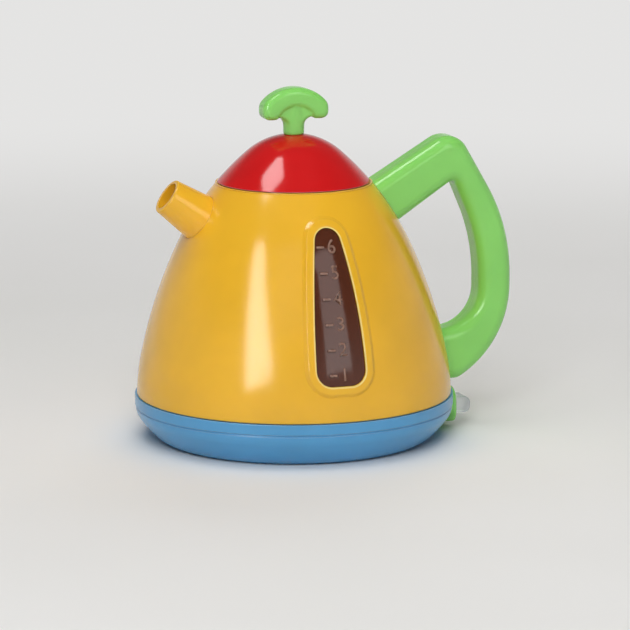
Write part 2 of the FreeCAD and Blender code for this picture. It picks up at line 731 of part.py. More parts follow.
def hook_tongue(y1, y2, grow=0, with_hook=True):
    """The tongue at the arm's end, which goes through the wall and hooks behind it."""
    rise = math.radians(ARM_RISE)
    start = V(skin_radius(HOOK_HEIGHT), 0, HOOK_HEIGHT)
    along = V(math.cos(rise), 0, math.sin(rise))
    across = V(-math.sin(rise), 0, math.cos(rise))
    half = TONGUE_HEIGHT / 2 + grow
    outside = HANDLE_WALL + TONGUE_ROOT
    behind = -(WALL + WALL / 3)
    points = [(outside, half), (-HOOK_LENGTH, half)]
    if with_hook:
        points += [(-HOOK_LENGTH, -half - HOOK_DROP), (behind, -half - HOOK_DROP), (behind, -half)]
    else:
        points += [(-HOOK_LENGTH, -half)]
    points += [(outside, -half)]
    spots = [start + along * a + across * b for a, b in points]
    return prism_y(Part.makePolygon(spots + [spots[0]]), y1, y2)


def foot_tongue(y1, y2, grow=0):
    """The flat tongue at the handle's foot, screwed to the body from below."""
    outer = skin_radius(FOOT_TONGUE_HEIGHT)
    half = TONGUE_HEIGHT / 2 + grow
    start = outer - FOOT_TONGUE_LENGTH
    end = outer + HANDLE_WALL + TONGUE_ROOT
    return box(start, end, y1, y2, FOOT_TONGUE_HEIGHT - half, FOOT_TONGUE_HEIGHT + half)


def foot_screw_x():
    return skin_radius(FOOT_TONGUE_HEIGHT) - FOOT_SCREW_INSET


def handle_half(side):
    """One half of the handle: side -1 is the front, +1 the back."""
    low = SEAM_HEIGHT
    high = crown_height() + OVERRUN
    seat = skin_core(-HANDLE_SEAT_GAP, low - WALL, high)
    end_wall = skin_core(-HANDLE_SEAT_GAP - HANDLE_WALL, low - WALL, high)
    shell = handle_loop(0).cut(seat)
    hollow = handle_loop(HANDLE_WALL).cut(end_wall)
    reach = HANDLE_REACH * 2
    keep = box(0, reach, min(0, side * reach), max(0, side * reach), 0, reach)
    half = shell.cut(hollow).common(keep)
    face = HANDLE_WIDTH / 2 - HANDLE_WALL / 2
    parts = [half]
    holes = []
    for x, z in handle_screw_places():
        parts.append(rod(BOSS_RADIUS, face, x, 0, z, V(0, side, 0)))
        if side < 0:
            holes.append(rod(SCREW_RADIUS, face - HANDLE_WALL, x, 0, z, V(0, side, 0)))
        else:
            holes.append(rod(SCREW_RADIUS + SCREW_HOLE_CLEARANCE, HANDLE_WIDTH, x, 0, z, V(0, side, 0)))
            seat_y = HANDLE_WIDTH / 2 - HANDLE_WALL - SCREW_HEAD_HEIGHT
            holes.append(rod(COUNTERBORE_RADIUS, HANDLE_WIDTH, x, seat_y, z, V(0, 1, 0)))
    near = side * (TONGUE_Y - TONGUE_WIDTH / 2)
    far = side * (TONGUE_Y + TONGUE_WIDTH / 2)
    parts.append(hook_tongue(min(near, far), max(near, far)))
    parts.append(foot_tongue(min(near, far), max(near, far)))
    holes.append(rod(SCREW_RADIUS + SCREW_HOLE_CLEARANCE, TONGUE_HEIGHT * 3,
                     foot_screw_x(), side * TONGUE_Y, FOOT_TONGUE_HEIGHT - TONGUE_HEIGHT))
    return cut(fuse(parts), holes)


def handle_screws():
    seat_y = HANDLE_WIDTH / 2 - HANDLE_WALL - SCREW_HEAD_HEIGHT
    length = seat_y + HANDLE_WIDTH / 2 - HANDLE_WALL * 2 - SCREW_END_GAP
    return [screw(x, seat_y, z, V(0, -1, 0), length) for x, z in handle_screw_places()]


def foot_screws():
    seat = FOOT_TONGUE_HEIGHT - TONGUE_HEIGHT / 2
    length = TONGUE_HEIGHT + FOOT_BOSS_HEIGHT * 0.6
    return [screw(foot_screw_x(), side * TONGUE_Y, seat, UP, length) for side in (-1, 1)]


# The body
def body_shell():
    """The body: a bell with a neck, a lip, bosses, and openings for window, spout and handle."""
    shell = skin_shell(0, WALL, SEAM_HEIGHT, LID_SEAM_HEIGHT)
    neck_outer = neck_radius() + NECK_WALL
    neck = rod(neck_outer, NECK_DEPTH, 0, 0, LID_SEAM_HEIGHT - NECK_DEPTH)
    neck = neck.common(skin_core(WALL / 2, SEAM_HEIGHT, LID_SEAM_HEIGHT))
    lip_outer = BAND_RADIUS - WALL - LIP_CLEARANCE
    lip_low = SEAM_HEIGHT - BASE_SEAM_GAP - BODY_LIP_HEIGHT
    lip = rod(lip_outer, SEAM_HEIGHT + BODY_LIP_HEIGHT / 2 - lip_low, 0, 0, lip_low)
    lip = lip.cut(rod(lip_outer - BODY_LIP_WALL, SEAM_HEIGHT * 2, 0, 0, 0))
    boss_low = SEAM_HEIGHT + DECK_THICKNESS
    boss_high = boss_low + BODY_BOSS_HEIGHT
    room = skin_core(WALL / 2, SEAM_HEIGHT - WALL, LID_SEAM_HEIGHT)
    bosses = []
    pilots = []
    for x, y in post_places():
        bosses.append(rod(BOSS_RADIUS, BODY_BOSS_HEIGHT, x, y, boss_low))
        rib = box(0, SEAM_RADIUS - POST_RING_RADIUS, -RIB_WALL / 2, RIB_WALL / 2, boss_low, boss_high)
        rib.rotate(ORIGIN, UP, math.degrees(math.atan2(y, x)))
        rib.translate(V(x, y, 0))
        bosses.append(rib.common(room))
        pilots.append(rod(SCREW_RADIUS, BODY_BOSS_HEIGHT - WALL, x, y, boss_low))
    tongue_top = FOOT_TONGUE_HEIGHT + TONGUE_HEIGHT / 2
    block_half = TONGUE_Y + TONGUE_WIDTH / 2
    block = box(foot_screw_x() - BOSS_RADIUS, SEAM_RADIUS, -block_half, block_half,
                tongue_top, tongue_top + FOOT_BOSS_HEIGHT).common(room)
    for side in (-1, 1):
        pilots.append(rod(SCREW_RADIUS, FOOT_BOSS_HEIGHT * 0.7, foot_screw_x(), side * TONGUE_Y, tongue_top))
    slot_half = block_half + TONGUE_CLEARANCE
    slots = [
        hook_tongue(-slot_half, slot_half, TONGUE_CLEARANCE, False),
        foot_tongue(-slot_half, slot_half, TONGUE_CLEARANCE).common(
            skin_shell(-WALL, WALL * 1.5, SEAM_HEIGHT, LID_SEAM_HEIGHT)),
    ]
    solid = fuse([shell, neck, lip, block] + bosses)
    solid = solid.cut(rod(neck_radius(), NECK_DEPTH * 2, 0, 0, LID_SEAM_HEIGHT - NECK_DEPTH - OVERRUN))
    bore = spout_frame(spout_cone(SPOUT_CLEARANCE, SPOUT_ROOT_RADIUS * 2, SPOUT_LENGTH))
    solid = cut(solid, slots + pilots + [window_prism(0), bore])
    return fuse([solid, bezel()])


def deck():
    """The disc between the water space and the works, clamped between posts and bosses."""
    lip_inner = BAND_RADIUS - WALL - LIP_CLEARANCE - BODY_LIP_WALL
    disc = rod(lip_inner - DECK_CLEARANCE, DECK_THICKNESS, 0, 0, SEAM_HEIGHT)
    holes = [rod(SCREW_RADIUS + SCREW_HOLE_CLEARANCE, SEAM_HEIGHT * 2, x, y, 0) for x, y in post_places()]
    return cut(disc, holes)


# The base
def bowl_arcs(inset):
    """Arcs (centre x, centre z, radius, start, end) of the bowl below the groove, moved in by inset."""
    lean = math.radians(BELLY_TURN)
    heel_start = math.radians(HEEL_START)
    top_z = SEAM_HEIGHT - BASE_SEAM_GAP - BAND_HEIGHT - GROOVE_HALF_HEIGHT * 2
    top_x = BAND_RADIUS - GROOVE_DEPTH / 2
    belly_x = top_x - BELLY_RADIUS
    side_x = belly_x + BELLY_RADIUS * math.cos(lean)
    side_z = top_z - BELLY_RADIUS * math.sin(lean)
    heel_z = HEEL_RADIUS * (1 - math.sin(heel_start))
    side_radius = (side_z - heel_z) / (math.sin(heel_start) - math.sin(lean))
    side_centre_x = side_x - side_radius * math.cos(lean)
    side_centre_z = side_z + side_radius * math.sin(lean)
    heel_x = side_centre_x + side_radius * math.cos(heel_start)
    heel_centre_x = heel_x - HEEL_RADIUS * math.cos(heel_start)
    return [
        (belly_x, top_z, BELLY_RADIUS - inset, 0, -lean),
        (side_centre_x, side_centre_z, side_radius - inset, -lean, -heel_start),
        (heel_centre_x, HEEL_RADIUS, HEEL_RADIUS - inset, -heel_start, -math.pi / 2),
    ]


def bowl_core(inset):
    """The base's outer form, moved in by inset: band, groove, bowl and flat underside."""
    arcs = bowl_arcs(inset)
    top_z = SEAM_HEIGHT - BASE_SEAM_GAP
    groove_top = top_z - BAND_HEIGHT
    groove_low = groove_top - GROOVE_HALF_HEIGHT * 2
    band_x = BAND_RADIUS - inset
    bowl_x = BAND_RADIUS - GROOVE_DEPTH / 2 - inset
    edges = [arc_edge(*arc) for arc in arcs]
    groove_middle = V(bowl_x - GROOVE_DEPTH / 2, 0, groove_top - GROOVE_HALF_HEIGHT)
    if inset:
        edges.append(Part.makeLine(V(band_x, 0, groove_low), V(bowl_x, 0, groove_low)))
        edges.append(Part.makeLine(V(band_x, 0, top_z), V(band_x, 0, groove_low)))
    else:
        groove = Part.Arc(V(band_x, 0, groove_top), groove_middle, V(bowl_x, 0, groove_low))
        edges.append(groove.toShape())
        edges.append(Part.makeLine(V(band_x, 0, top_z), V(band_x, 0, groove_top)))
    edges.append(Part.makeLine(V(arcs[-1][0], 0, inset), V(0, 0, inset)))
    edges.append(Part.makeLine(V(0, 0, inset), V(0, 0, top_z)))
    edges.append(Part.makeLine(V(0, 0, top_z), V(band_x, 0, top_z)))
    return turned(edges)


def bay_half_size():
    """Half the battery bay's length along X and along Y."""
    half_x = CELL_RADIUS * 2 + CELL_GAP
    half_y = (CELL_LENGTH + CELL_NUB_LENGTH) / 2 + BAY_END_ROOM + CONTACT_THICKNESS
    return half_x, half_y


def cell_axis_height():
    return DOOR_THICKNESS + CELL_GAP + CELL_RADIUS


def door_outline(grow):
    """The battery door's corners in plan, with a tab for its screw on the +X side."""
    half_x, half_y = bay_half_size()
    x1 = BAY_X - half_x - DOOR_MARGIN - grow
    x2 = BAY_X + half_x + DOOR_SCREW_REACH + grow
    y = half_y + DOOR_MARGIN + grow
    return x1, x2, y


def door_plate(grow, low, high):
    """A plate of the door's outline, with rounded upright edges."""
    x1, x2, y = door_outline(grow)
    plate = box(x1, x2, -y, y, low, high)
    upright = [edge for edge in plate.Edges if edge.BoundBox.ZLength > (high - low) / 2]
    return plate.makeFillet(DOOR_MARGIN, upright)


def door_screw_x():
    return BAY_X + bay_half_size()[0] + DOOR_SCREW_REACH / 2


def base_bowl():
    """The base: a bowl with posts, battery bay, loudspeaker ring, grille slots and switch opening."""
    top_z = SEAM_HEIGHT - BASE_SEAM_GAP
    hollow = bowl_core(WALL)
    hollow = hollow.fuse(rod(BAND_RADIUS - WALL, BAND_HEIGHT, 0, 0, top_z - BAND_HEIGHT / 2))
    shell = bowl_core(0).cut(hollow)
    posts = []
    holes = []
    for x, y in post_places():
        posts.append(rod(COUNTERBORE_RADIUS + POST_WALL, SEAM_HEIGHT - WALL / 2, x, y, WALL / 2))
        holes.append(rod(COUNTERBORE_RADIUS, POST_HEAD_HEIGHT, x, y, 0))
        holes.append(rod(SCREW_RADIUS + SCREW_HOLE_CLEARANCE, SEAM_HEIGHT, x, y, 0))
    half_x, half_y = bay_half_size()
    roof = cell_axis_height() + CELL_RADIUS + CELL_GAP
    bay = box(BAY_X - half_x, BAY_X + half_x, -half_y, half_y, 0, roof)
    bay_box = box(BAY_X - half_x - BAY_WALL, BAY_X + half_x + BAY_WALL,
                  -half_y - BAY_WALL, half_y + BAY_WALL, 0, roof + BAY_WALL)
    floor_pad = door_plate(BAY_WALL, 0, DOOR_THICKNESS + DOOR_CLEARANCE + BAY_WALL)
    screw_post = rod(BOSS_RADIUS, roof, door_screw_x(), 0, DOOR_THICKNESS)
    pilot = rod(SCREW_RADIUS, roof - DOOR_THICKNESS - WALL, door_screw_x(), 0, DOOR_THICKNESS)
    ring = rod(SPEAKER_RADIUS + SPEAKER_CLEARANCE + SPEAKER_RING_WALL, SPEAKER_RING_HEIGHT, SPEAKER_X, 0, WALL / 2)
    ring = ring.cut(rod(SPEAKER_RADIUS + SPEAKER_CLEARANCE, SEAM_HEIGHT, SPEAKER_X, 0, 0))
    board_posts = []
    for place in (-1, 1):
        post = rod(BOARD_POST_RADIUS, BOARD_HEIGHT - WALL / 2, BOARD_POST_X, place * BOARD_POST_Y, WALL / 2)
        board_posts.append(post)
        holes.append(rod(SCREW_RADIUS, BOARD_HEIGHT / 2, BOARD_POST_X, place * BOARD_POST_Y, BOARD_HEIGHT / 2))
    guides = []
    for place in (-1, 1):
        guides.append(switch_guide(place))
    solid = fuse([shell, bay_box, floor_pad, screw_post, ring] + posts + board_posts + guides)
    door_room = door_plate(DOOR_CLEARANCE, -OVERRUN, DOOR_THICKNESS)
    collar = prism_x(rectangle(COLLAR_HALF_WIDTH + COLLAR_CLEARANCE, COLLAR_HALF_HEIGHT + COLLAR_CLEARANCE,
                               SWITCH_HEIGHT, COLLAR_CORNER), PLATE_X - COLLAR_CLEARANCE, COLLAR_FACE_X + WALL)
    holes += [bay, door_room, pilot, collar] + grille_slots()
    return cut(solid, holes)


def switch_guide(side):
    """An upright channel on the bowl's floor that holds one edge of the switch's plate."""
    play = COLLAR_CLEARANCE
    near = PLATE_HALF_WIDTH - BAY_WALL
    far = PLATE_HALF_WIDTH + play + BAY_WALL
    x1 = PLATE_X - play - BAY_WALL
    x2 = PLATE_X + PLATE_THICKNESS + play + BAY_WALL
    low = WALL / 2
    high = PLATE_TOP * 0.7
    ys = sorted((side * near, side * far))
    block = box(x1, x2, ys[0], ys[1], low, high)
    ys = sorted((side * (near - OVERRUN), side * (PLATE_HALF_WIDTH + play)))
    channel = box(PLATE_X - play, PLATE_X + PLATE_THICKNESS + play, ys[0], ys[1], WALL, high + OVERRUN)
    return block.cut(channel).common(bowl_core(WALL / 2))


def grille_slots():
    """Slots under the loudspeaker, longest in the middle."""
    slots = []
    reach = CONE_RADIUS - GRILLE_SLOT_WIDTH
    for index in range(GRILLE_SLOTS):
        offset = (index - (GRILLE_SLOTS - 1) / 2) * GRILLE_PITCH
        half = math.sqrt(max(reach ** 2 - offset ** 2, GRILLE_SLOT_WIDTH ** 2))
        slot = box(-GRILLE_SLOT_WIDTH / 2, GRILLE_SLOT_WIDTH / 2, -half, half, -OVERRUN, WALL + OVERRUN)
        upright = [edge for edge in slot.Edges if edge.BoundBox.ZLength > WALL]
        slot = slot.makeFillet(GRILLE_SLOT_WIDTH * 0.49, upright)
        slot.translate(V(SPEAKER_X + offset, 0, 0))
        slots.append(slot)
    return slots


def battery_door():
    """The screwed door over the battery bay, flush with the underside."""
    plate = door_plate(0, 0, DOOR_THICKNESS)
    hole = rod(SCREW_RADIUS + SCREW_HOLE_CLEARANCE, DOOR_THICKNESS * 2, door_screw_x(), 0, 0)
    recess_height = DOOR_THICKNESS * 0.6
    recess = rod(COUNTERBORE_RADIUS, recess_height, door_screw_x(), 0, 0)
    return cut(plate, [hole, recess])


def door_screw():
    seat = DOOR_THICKNESS * 0.6
    full = screw(door_screw_x(), 0, seat, UP, CELL_RADIUS * 1.3)
    flush = box(-SEAM_RADIUS, SEAM_RADIUS, -SEAM_RADIUS, SEAM_RADIUS, DOOR_SCREW_SINK, SEAM_HEIGHT)
    return full.common(flush)


def base_screws():
    length = SEAM_HEIGHT - POST_HEAD_HEIGHT + DECK_THICKNESS + BODY_BOSS_HEIGHT * 0.6
    return [screw(x, y, POST_HEAD_HEIGHT, UP, length) for x, y in post_places()]


def cell(side):
    """An AA cell: side -1 or +1 of the bay, with its nub pointing the other way from its neighbour."""
    x = BAY_X + side * (CELL_RADIUS + CELL_GAP / 2)
    z = cell_axis_height()
    total = CELL_LENGTH + CELL_NUB_LENGTH
    can = rod(CELL_RADIUS, CELL_LENGTH, x, -total / 2 * side, z, V(0, side, 0))
    can = can.makeFillet(CELL_GAP, can.Edges[0:1] + can.Edges[2:3])
    nub = rod(CELL_NUB_RADIUS, total, x, -total / 2 * side, z, V(0, side, 0))
    return can.fuse(nub).removeSplitter()


def contact(side, end):
    """A battery contact plate at one end of one cell: end -1 or +1 along Y."""
    x = BAY_X + side * (CELL_RADIUS + CELL_GAP / 2)
    half_y = bay_half_size()[1]
    z = cell_axis_height()
    ys = sorted((end * half_y, end * (half_y - CONTACT_THICKNESS)))
    plate = box(x - CONTACT_RADIUS, x + CONTACT_RADIUS, ys[0], ys[1], z - CONTACT_RADIUS, z + CONTACT_RADIUS)
    inner = half_y - CONTACT_THICKNESS
    cell_end = (CELL_LENGTH + CELL_NUB_LENGTH) / 2
    dome = Part.makeCone(CELL_NUB_RADIUS, CELL_NUB_RADIUS * 0.6, inner - cell_end,
                         V(x, end * inner, z), V(0, -end, 0))
    return plate.fuse(dome).removeSplitter()


def contacts():
    return [contact(side, end) for side in (-1, 1) for end in (-1, 1)]


def basket_radius(height):
    """Inside radius of the loudspeaker's basket, at a height above its flange."""
    slope = (CONE_RADIUS - MAGNET_RADIUS) / SPEAKER_FRAME_HEIGHT
    return CONE_RADIUS - SPEAKER_FRAME_WALL - slope * height


def speaker_frame():
    """The loudspeaker's pressed frame: a flange on the cone's rim and a tapering basket."""
    low = WALL + CONE_THICKNESS
    outer = Part.makeCone(CONE_RADIUS, MAGNET_RADIUS, SPEAKER_FRAME_HEIGHT, V(SPEAKER_X, 0, low))
    inner = Part.makeCone(basket_radius(0), basket_radius(SPEAKER_FRAME_HEIGHT), SPEAKER_FRAME_HEIGHT,
                          V(SPEAKER_X, 0, low))
    flange = rod(SPEAKER_RADIUS, SPEAKER_FRAME_WALL, SPEAKER_X, 0, low)
    flange = flange.cut(rod(basket_radius(0), SEAM_HEIGHT, SPEAKER_X, 0, 0))
    top = rod(MAGNET_RADIUS, SPEAKER_FRAME_WALL, SPEAKER_X, 0, low + SPEAKER_FRAME_HEIGHT)
    return fuse([outer.cut(inner), flange, top])


def speaker_cone():
    """The loudspeaker's paper cone: a rim under the frame's flange, the cone and its dust cap."""
    low = WALL
    start = basket_radius(0) - CONE_GAP
    height = SPEAKER_FRAME_HEIGHT - CONE_GAP * 2
    end = basket_radius(height) - CONE_GAP
    rim = rod(CONE_RADIUS + CONE_THICKNESS, CONE_THICKNESS, SPEAKER_X, 0, low)
    rim = rim.cut(rod(start - CONE_THICKNESS, SEAM_HEIGHT, SPEAKER_X, 0, 0))
    outer = Part.makeCone(start, end, height, V(SPEAKER_X, 0, low + CONE_THICKNESS))
    inner = Part.makeCone(start - CONE_THICKNESS, end - CONE_THICKNESS, height,
                          V(SPEAKER_X, 0, low + CONE_THICKNESS))
    cap = rod(end - CONE_THICKNESS / 2, CONE_THICKNESS, SPEAKER_X, 0, low + height)
    return fuse([rim, outer.cut(inner), cap])


def speaker_magnet():
    low = WALL + CONE_THICKNESS + SPEAKER_FRAME_HEIGHT + SPEAKER_FRAME_WALL
    magnet = rod(MAGNET_RADIUS, MAGNET_HEIGHT, SPEAKER_X, 0, low)
    rims = [edge for edge in magnet.Edges if edge.BoundBox.ZLength < 0.01]
    return magnet.makeChamfer(MAGNET_CHAMFER, rims)


# The switch
def switch_bezel():
    """The collar in the base's wall, its back plate, and the cheeks that hold the pin."""
    collar = prism_x(rectangle(COLLAR_HALF_WIDTH, COLLAR_HALF_HEIGHT, SWITCH_HEIGHT, COLLAR_CORNER),
                     PLATE_X, COLLAR_FACE_X)
    front = [edge for edge in collar.Edges if edge.BoundBox.XMin > COLLAR_FACE_X - 0.01]
    collar = collar.makeFillet(COLLAR_EDGE_ROUND, front)
    open_half = LEVER_HALF_WIDTH + LEVER_SIDE_GAP
    open_low = LEVER_BOTTOM - PRESS_ROOM
    open_high = LEVER_TOP + LEVER_SIDE_GAP
    opening = prism_x([(-open_half, open_low, 1), (open_half, open_low, 1),
                       (open_half, open_high, 1), (-open_half, open_high, 1)],
                      PLATE_X - OVERRUN, COLLAR_FACE_X + OVERRUN)
    plate = box(PLATE_X, PLATE_X + PLATE_THICKNESS, -PLATE_HALF_WIDTH, PLATE_HALF_WIDTH, WALL, PLATE_TOP)
    plate = plate.common(bowl_core(WALL))
    holes = [opening]
    hole = rod(PIN_RADIUS, PIN_HALF_LENGTH * 2, PIVOT_X, -PIN_HALF_LENGTH, PIVOT_HEIGHT, V(0, 1, 0))
    return cut(fuse([collar, plate]), holes + [hole])


def switch_lever():
    """The clear lever: a soft-edged finger paddle outside, a thin tail inside."""
    paddle_start = PIVOT_X - PIN_RADIUS * 2.4
    outline = rounded_outline([
        (paddle_start, LEVER_BOTTOM, LEVER_ROOT_ROUND),
        (LEVER_TIP_X, LEVER_BOTTOM, LEVER_TIP_ROUND),
        (LEVER_TIP_X, LEVER_TOP, LEVER_TIP_ROUND),
        (paddle_start, LEVER_TOP, LEVER_ROOT_ROUND),
    ])
    paddle = prism_y(outline, -LEVER_HALF_WIDTH, LEVER_HALF_WIDTH)
    paddle = paddle.makeFillet(LEVER_EDGE_ROUND, [edge for edge in paddle.Edges if edge.BoundBox.YLength < 0.01])
    tail = box(TAIL_END_X, PIVOT_X, -TAIL_HALF_WIDTH, TAIL_HALF_WIDTH, TAIL_BOTTOM, TAIL_TOP)
    bore = rod(PIN_RADIUS + PIN_CLEARANCE, PIN_HALF_LENGTH * 2, PIVOT_X, -PIN_HALF_LENGTH, PIVOT_HEIGHT, V(0, 1, 0))
    return fuse([paddle, tail]).cut(bore)


def switch_pin():
    return rod(PIN_RADIUS, PIN_HALF_LENGTH * 2, PIVOT_X, -PIN_HALF_LENGTH, PIVOT_HEIGHT, V(0, 1, 0))


def switch_spring():
    """The coil spring that lifts the lever, between its tail and the circuit board."""
    height = BOARD_HEIGHT - TAIL_TOP
    pitch = (height - SPRING_WIRE * 2) / SPRING_TURNS
    helix = Part.makeHelix(pitch, height - SPRING_WIRE * 2, SPRING_RADIUS)
    corners = []
    for index in range(SPRING_WIRE_SIDES):
        turn = 2 * math.pi * index / SPRING_WIRE_SIDES
        corners.append(V(SPRING_RADIUS + SPRING_WIRE * math.cos(turn), 0, SPRING_WIRE * math.sin(turn)))
    section = Part.makePolygon(corners + corners[0:1])
    coil = Part.Wire(helix).makePipeShell([section], True, True)
    x = TACT_X + TACT_SIDE / 2 + SPRING_SIDE_GAP + SPRING_RADIUS + SPRING_WIRE
    coil.translate(V(x, 0, TAIL_TOP + SPRING_WIRE))
    return coil


def tact_switch():
    """The small push switch under the circuit board."""
    half = TACT_SIDE / 2
    body = box(TACT_X - half, TACT_X + half, -half, half, BOARD_HEIGHT - TACT_HEIGHT, BOARD_HEIGHT)
    button_low = BOARD_HEIGHT - TACT_HEIGHT - TACT_BUTTON_HEIGHT
    return fuse([body, rod(TACT_BUTTON_RADIUS, TACT_BUTTON_HEIGHT, TACT_X, 0, button_low)])


def circuit_board():
    end_x = PLATE_X - COLLAR_CLEARANCE * 2
    board = box(BOARD_START_X, end_x, -BOARD_HALF_WIDTH, BOARD_HALF_WIDTH, BOARD_HEIGHT, BOARD_HEIGHT + BOARD_THICKNESS)
    holes = [rod(SCREW_RADIUS + SCREW_HOLE_CLEARANCE, SEAM_HEIGHT, BOARD_POST_X, side * BOARD_POST_Y, 0)
             for side in (-1, 1)]
    return cut(board, holes)


def board_screws():
    seat = BOARD_HEIGHT + BOARD_THICKNESS
    return [screw(BOARD_POST_X, side * BOARD_POST_Y, seat, V(0, 0, -1), BOARD_HEIGHT * 0.45) for side in (-1, 1)]


def sound_chip():
    """The blob of black resin over the sound chip, on the board."""
    blob = rod(CHIP_RADIUS, CHIP_HEIGHT, CHIP_X + CHIP_RADIUS, 0, BOARD_HEIGHT + BOARD_THICKNESS)
    top = [edge for edge in blob.Edges if edge.BoundBox.ZMin > BOARD_HEIGHT + BOARD_THICKNESS + CHIP_HEIGHT / 2]
    return blob.makeFillet(CHIP_HEIGHT * 0.8, top)


def led():
    """The lamp under the board, pointing at the lever, on two leads."""
    z = BOARD_HEIGHT - LED_DROP
    end = PLATE_X - COLLAR_CLEARANCE * 2
    start = end - LED_LENGTH - LED_RADIUS
    lens = rod(LED_RADIUS, LED_LENGTH, start, LED_Y, z, V(1, 0, 0))
    cap = Part.makeSphere(LED_RADIUS, V(start + LED_LENGTH, LED_Y, z))
    leads = [rod(LED_LEAD_RADIUS, LED_DROP, start + LED_RADIUS / 2, LED_Y + side * LED_RADIUS * 0.6, z)
             for side in (-1, 1)]
    return fuse([lens, cap] + leads)


def pieces():
    """Every separate piece, under its name."""
    return {
        "body_shell": body_shell(),
        "window_pane": window_pane(),
        "spout": spout(),
        "lid": lid(),
        "lid_knob": knob(),
        "knob_screw": knob_screw(),
        "handle_front": handle_half(-1),
        "handle_back": handle_half(1),
        "handle_screws": Part.Compound(handle_screws()),
        "handle_foot_screws": Part.Compound(foot_screws()),
        "deck": deck(),
        "base_bowl": base_bowl(),
        "base_screws": Part.Compound(base_screws()),
        "battery_door": battery_door(),
        "battery_door_screw": door_screw(),
        "battery_left": cell(-1),
        "battery_right": cell(1),
        "battery_contacts": Part.Compound(contacts()),
        "speaker_frame": speaker_frame(),
        "speaker_cone": speaker_cone(),
        "speaker_magnet": speaker_magnet(),
        "circuit_board": circuit_board(),
        "board_screws": Part.Compound(board_screws()),
        "sound_chip": sound_chip(),
        "led": led(),
        "push_switch": tact_switch(),
        "switch_bezel": switch_bezel(),
        "switch_lever": switch_lever(),
        "switch_pin": switch_pin(),
        "switch_spring": switch_spring(),
    }


os.makedirs("parts", exist_ok=True)
for name, shape in pieces().items():
    print(name, len(shape.Solids), "solids", round(shape.Volume, 1), "mm3", "valid" if shape.isValid() else "INVALID")
    shape.exportStep("parts/" + name + ".step")
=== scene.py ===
import math

import bmesh
import bpy
from mathutils import Matrix, Vector


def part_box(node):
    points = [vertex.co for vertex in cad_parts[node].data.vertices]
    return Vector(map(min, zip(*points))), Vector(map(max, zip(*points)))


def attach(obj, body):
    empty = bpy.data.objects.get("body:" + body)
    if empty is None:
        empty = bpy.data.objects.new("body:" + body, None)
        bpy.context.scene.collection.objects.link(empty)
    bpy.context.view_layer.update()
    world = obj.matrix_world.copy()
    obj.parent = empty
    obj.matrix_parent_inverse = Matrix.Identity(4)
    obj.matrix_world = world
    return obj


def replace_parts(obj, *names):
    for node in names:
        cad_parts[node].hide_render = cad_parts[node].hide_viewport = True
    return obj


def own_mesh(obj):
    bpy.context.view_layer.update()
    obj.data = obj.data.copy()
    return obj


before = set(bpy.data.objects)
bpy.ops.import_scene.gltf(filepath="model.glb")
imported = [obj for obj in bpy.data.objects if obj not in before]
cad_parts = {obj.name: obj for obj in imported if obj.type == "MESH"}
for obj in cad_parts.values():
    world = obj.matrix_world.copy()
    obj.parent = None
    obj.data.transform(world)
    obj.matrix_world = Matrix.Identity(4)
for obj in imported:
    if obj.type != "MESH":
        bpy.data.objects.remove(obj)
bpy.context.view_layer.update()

MM = 0.001
UP = Vector((0, 0, 1))

# Rays that look for a surface start this far from the kettle's axis
RAY_START = 0.3

# Camera, worked out from the photograph's frame of 630 pixels: degrees round the kettle and above
# the floor, then metres
VIEW_AZIMUTH = -18
VIEW_ELEVATION = 11
VIEW_DISTANCE = 1.960
VIEW_RIGHT = 0.01029
VIEW_UP = 0.0588
SENSOR_WIDTH = 36.0
LENS = 228.57

# Where the lamps aim
KETTLE_MIDDLE = Vector((0, 0, 0.085))

# Lamps: degrees right of the camera's side, degrees above the floor, metres away, then the
# lamp's width and length, and how bright it looks beside a white surface
STRIP_LOW = (-24, 6, 0.85)
STRIP_HIGH = (-43, 44, 2.3)
STRIP_WIDTH = 0.3
STRIP_RADIANCE = 7.8
WINDOW_LIGHT = ("window_light", 34, 28, 1.6, 0.5, 1.0, 1.9)
LID_LIGHT = ("lid_light", -77, 69, 1.3, 0.40, 0.40, 7.0)
KEY_LIGHT = ("key_light", -3, 34, 2.2, 1.0, 1.0, 7.2)
TOP_LIGHT = ("top_light", -10, 80, 1.8, 1.7, 1.7, 1.9)
BACK_LIGHT = ("back_light", 170, 35, 2.4, 1.6, 1.2, 2.4)

# The surroundings, as bright as they look beside a white surface: overhead and at the horizon, the
# share of that which lights a surface, what the camera sees behind the kettle, and the sines of
# the heights between which the horizon's brightness turns into the one overhead
SKY_OVERHEAD = 0.12
SKY_HORIZON = 0.62
SKY_FILL = 0.36
SKY_SEEN = 0.78
SKY_BAND_START = math.sin(math.radians(8))
SKY_BAND_TOP = math.sin(math.radians(30))

# The floor: its size, where its paper starts and ends turning plain, how bright the plain part
# looks, and the paper's surface
FLOOR_RADIUS = 9.0
FLOOR_SIDES = 96
FLOOR_NEAR = 0.3
FLOOR_FAR = 1.1
FLOOR_FAR_WHITE = 0.78
PAPER_CLOUD_SCALE = 3
PAPER_GRAIN_SCALE = 900
PAPER_GRAIN_DEPTH = 0.00002
PAPER_ROUGHNESS = 0.85
PAPER_GLOSS = 0.2

# Nearly all of a noise's values lie between these
NOISE_LOW = 0.3
NOISE_HIGH = 0.7

# Edges of a moulding, painted paler as a stand-in for their highlights: how much paler they are
# than the face beside them, how pale they can get, and how well the rounded and the true normal
# agree on a flat face and on a sharp edge
EDGE_PALING = 0.5
EDGE_PALE_BASE = 0.5
EDGE_PALE_SHARE = 0.45
EDGE_FLAT = 0.995
EDGE_SHARP = 0.8
EDGE_SAMPLES = 6

# Moulded plastic: noises in features per metre, and how it bends and scatters light
FLOW_SCALE = 28
HAZE_SCALE = 260
RIPPLE_SCALE = 70
GRAIN_SCALE = 2600
PLASTIC_IOR = 1.53
SCATTER_WEIGHT = 0.08
SCATTER_RADIUS = (1.0, 0.6, 0.35)
SCATTER_SCALE = 0.0015

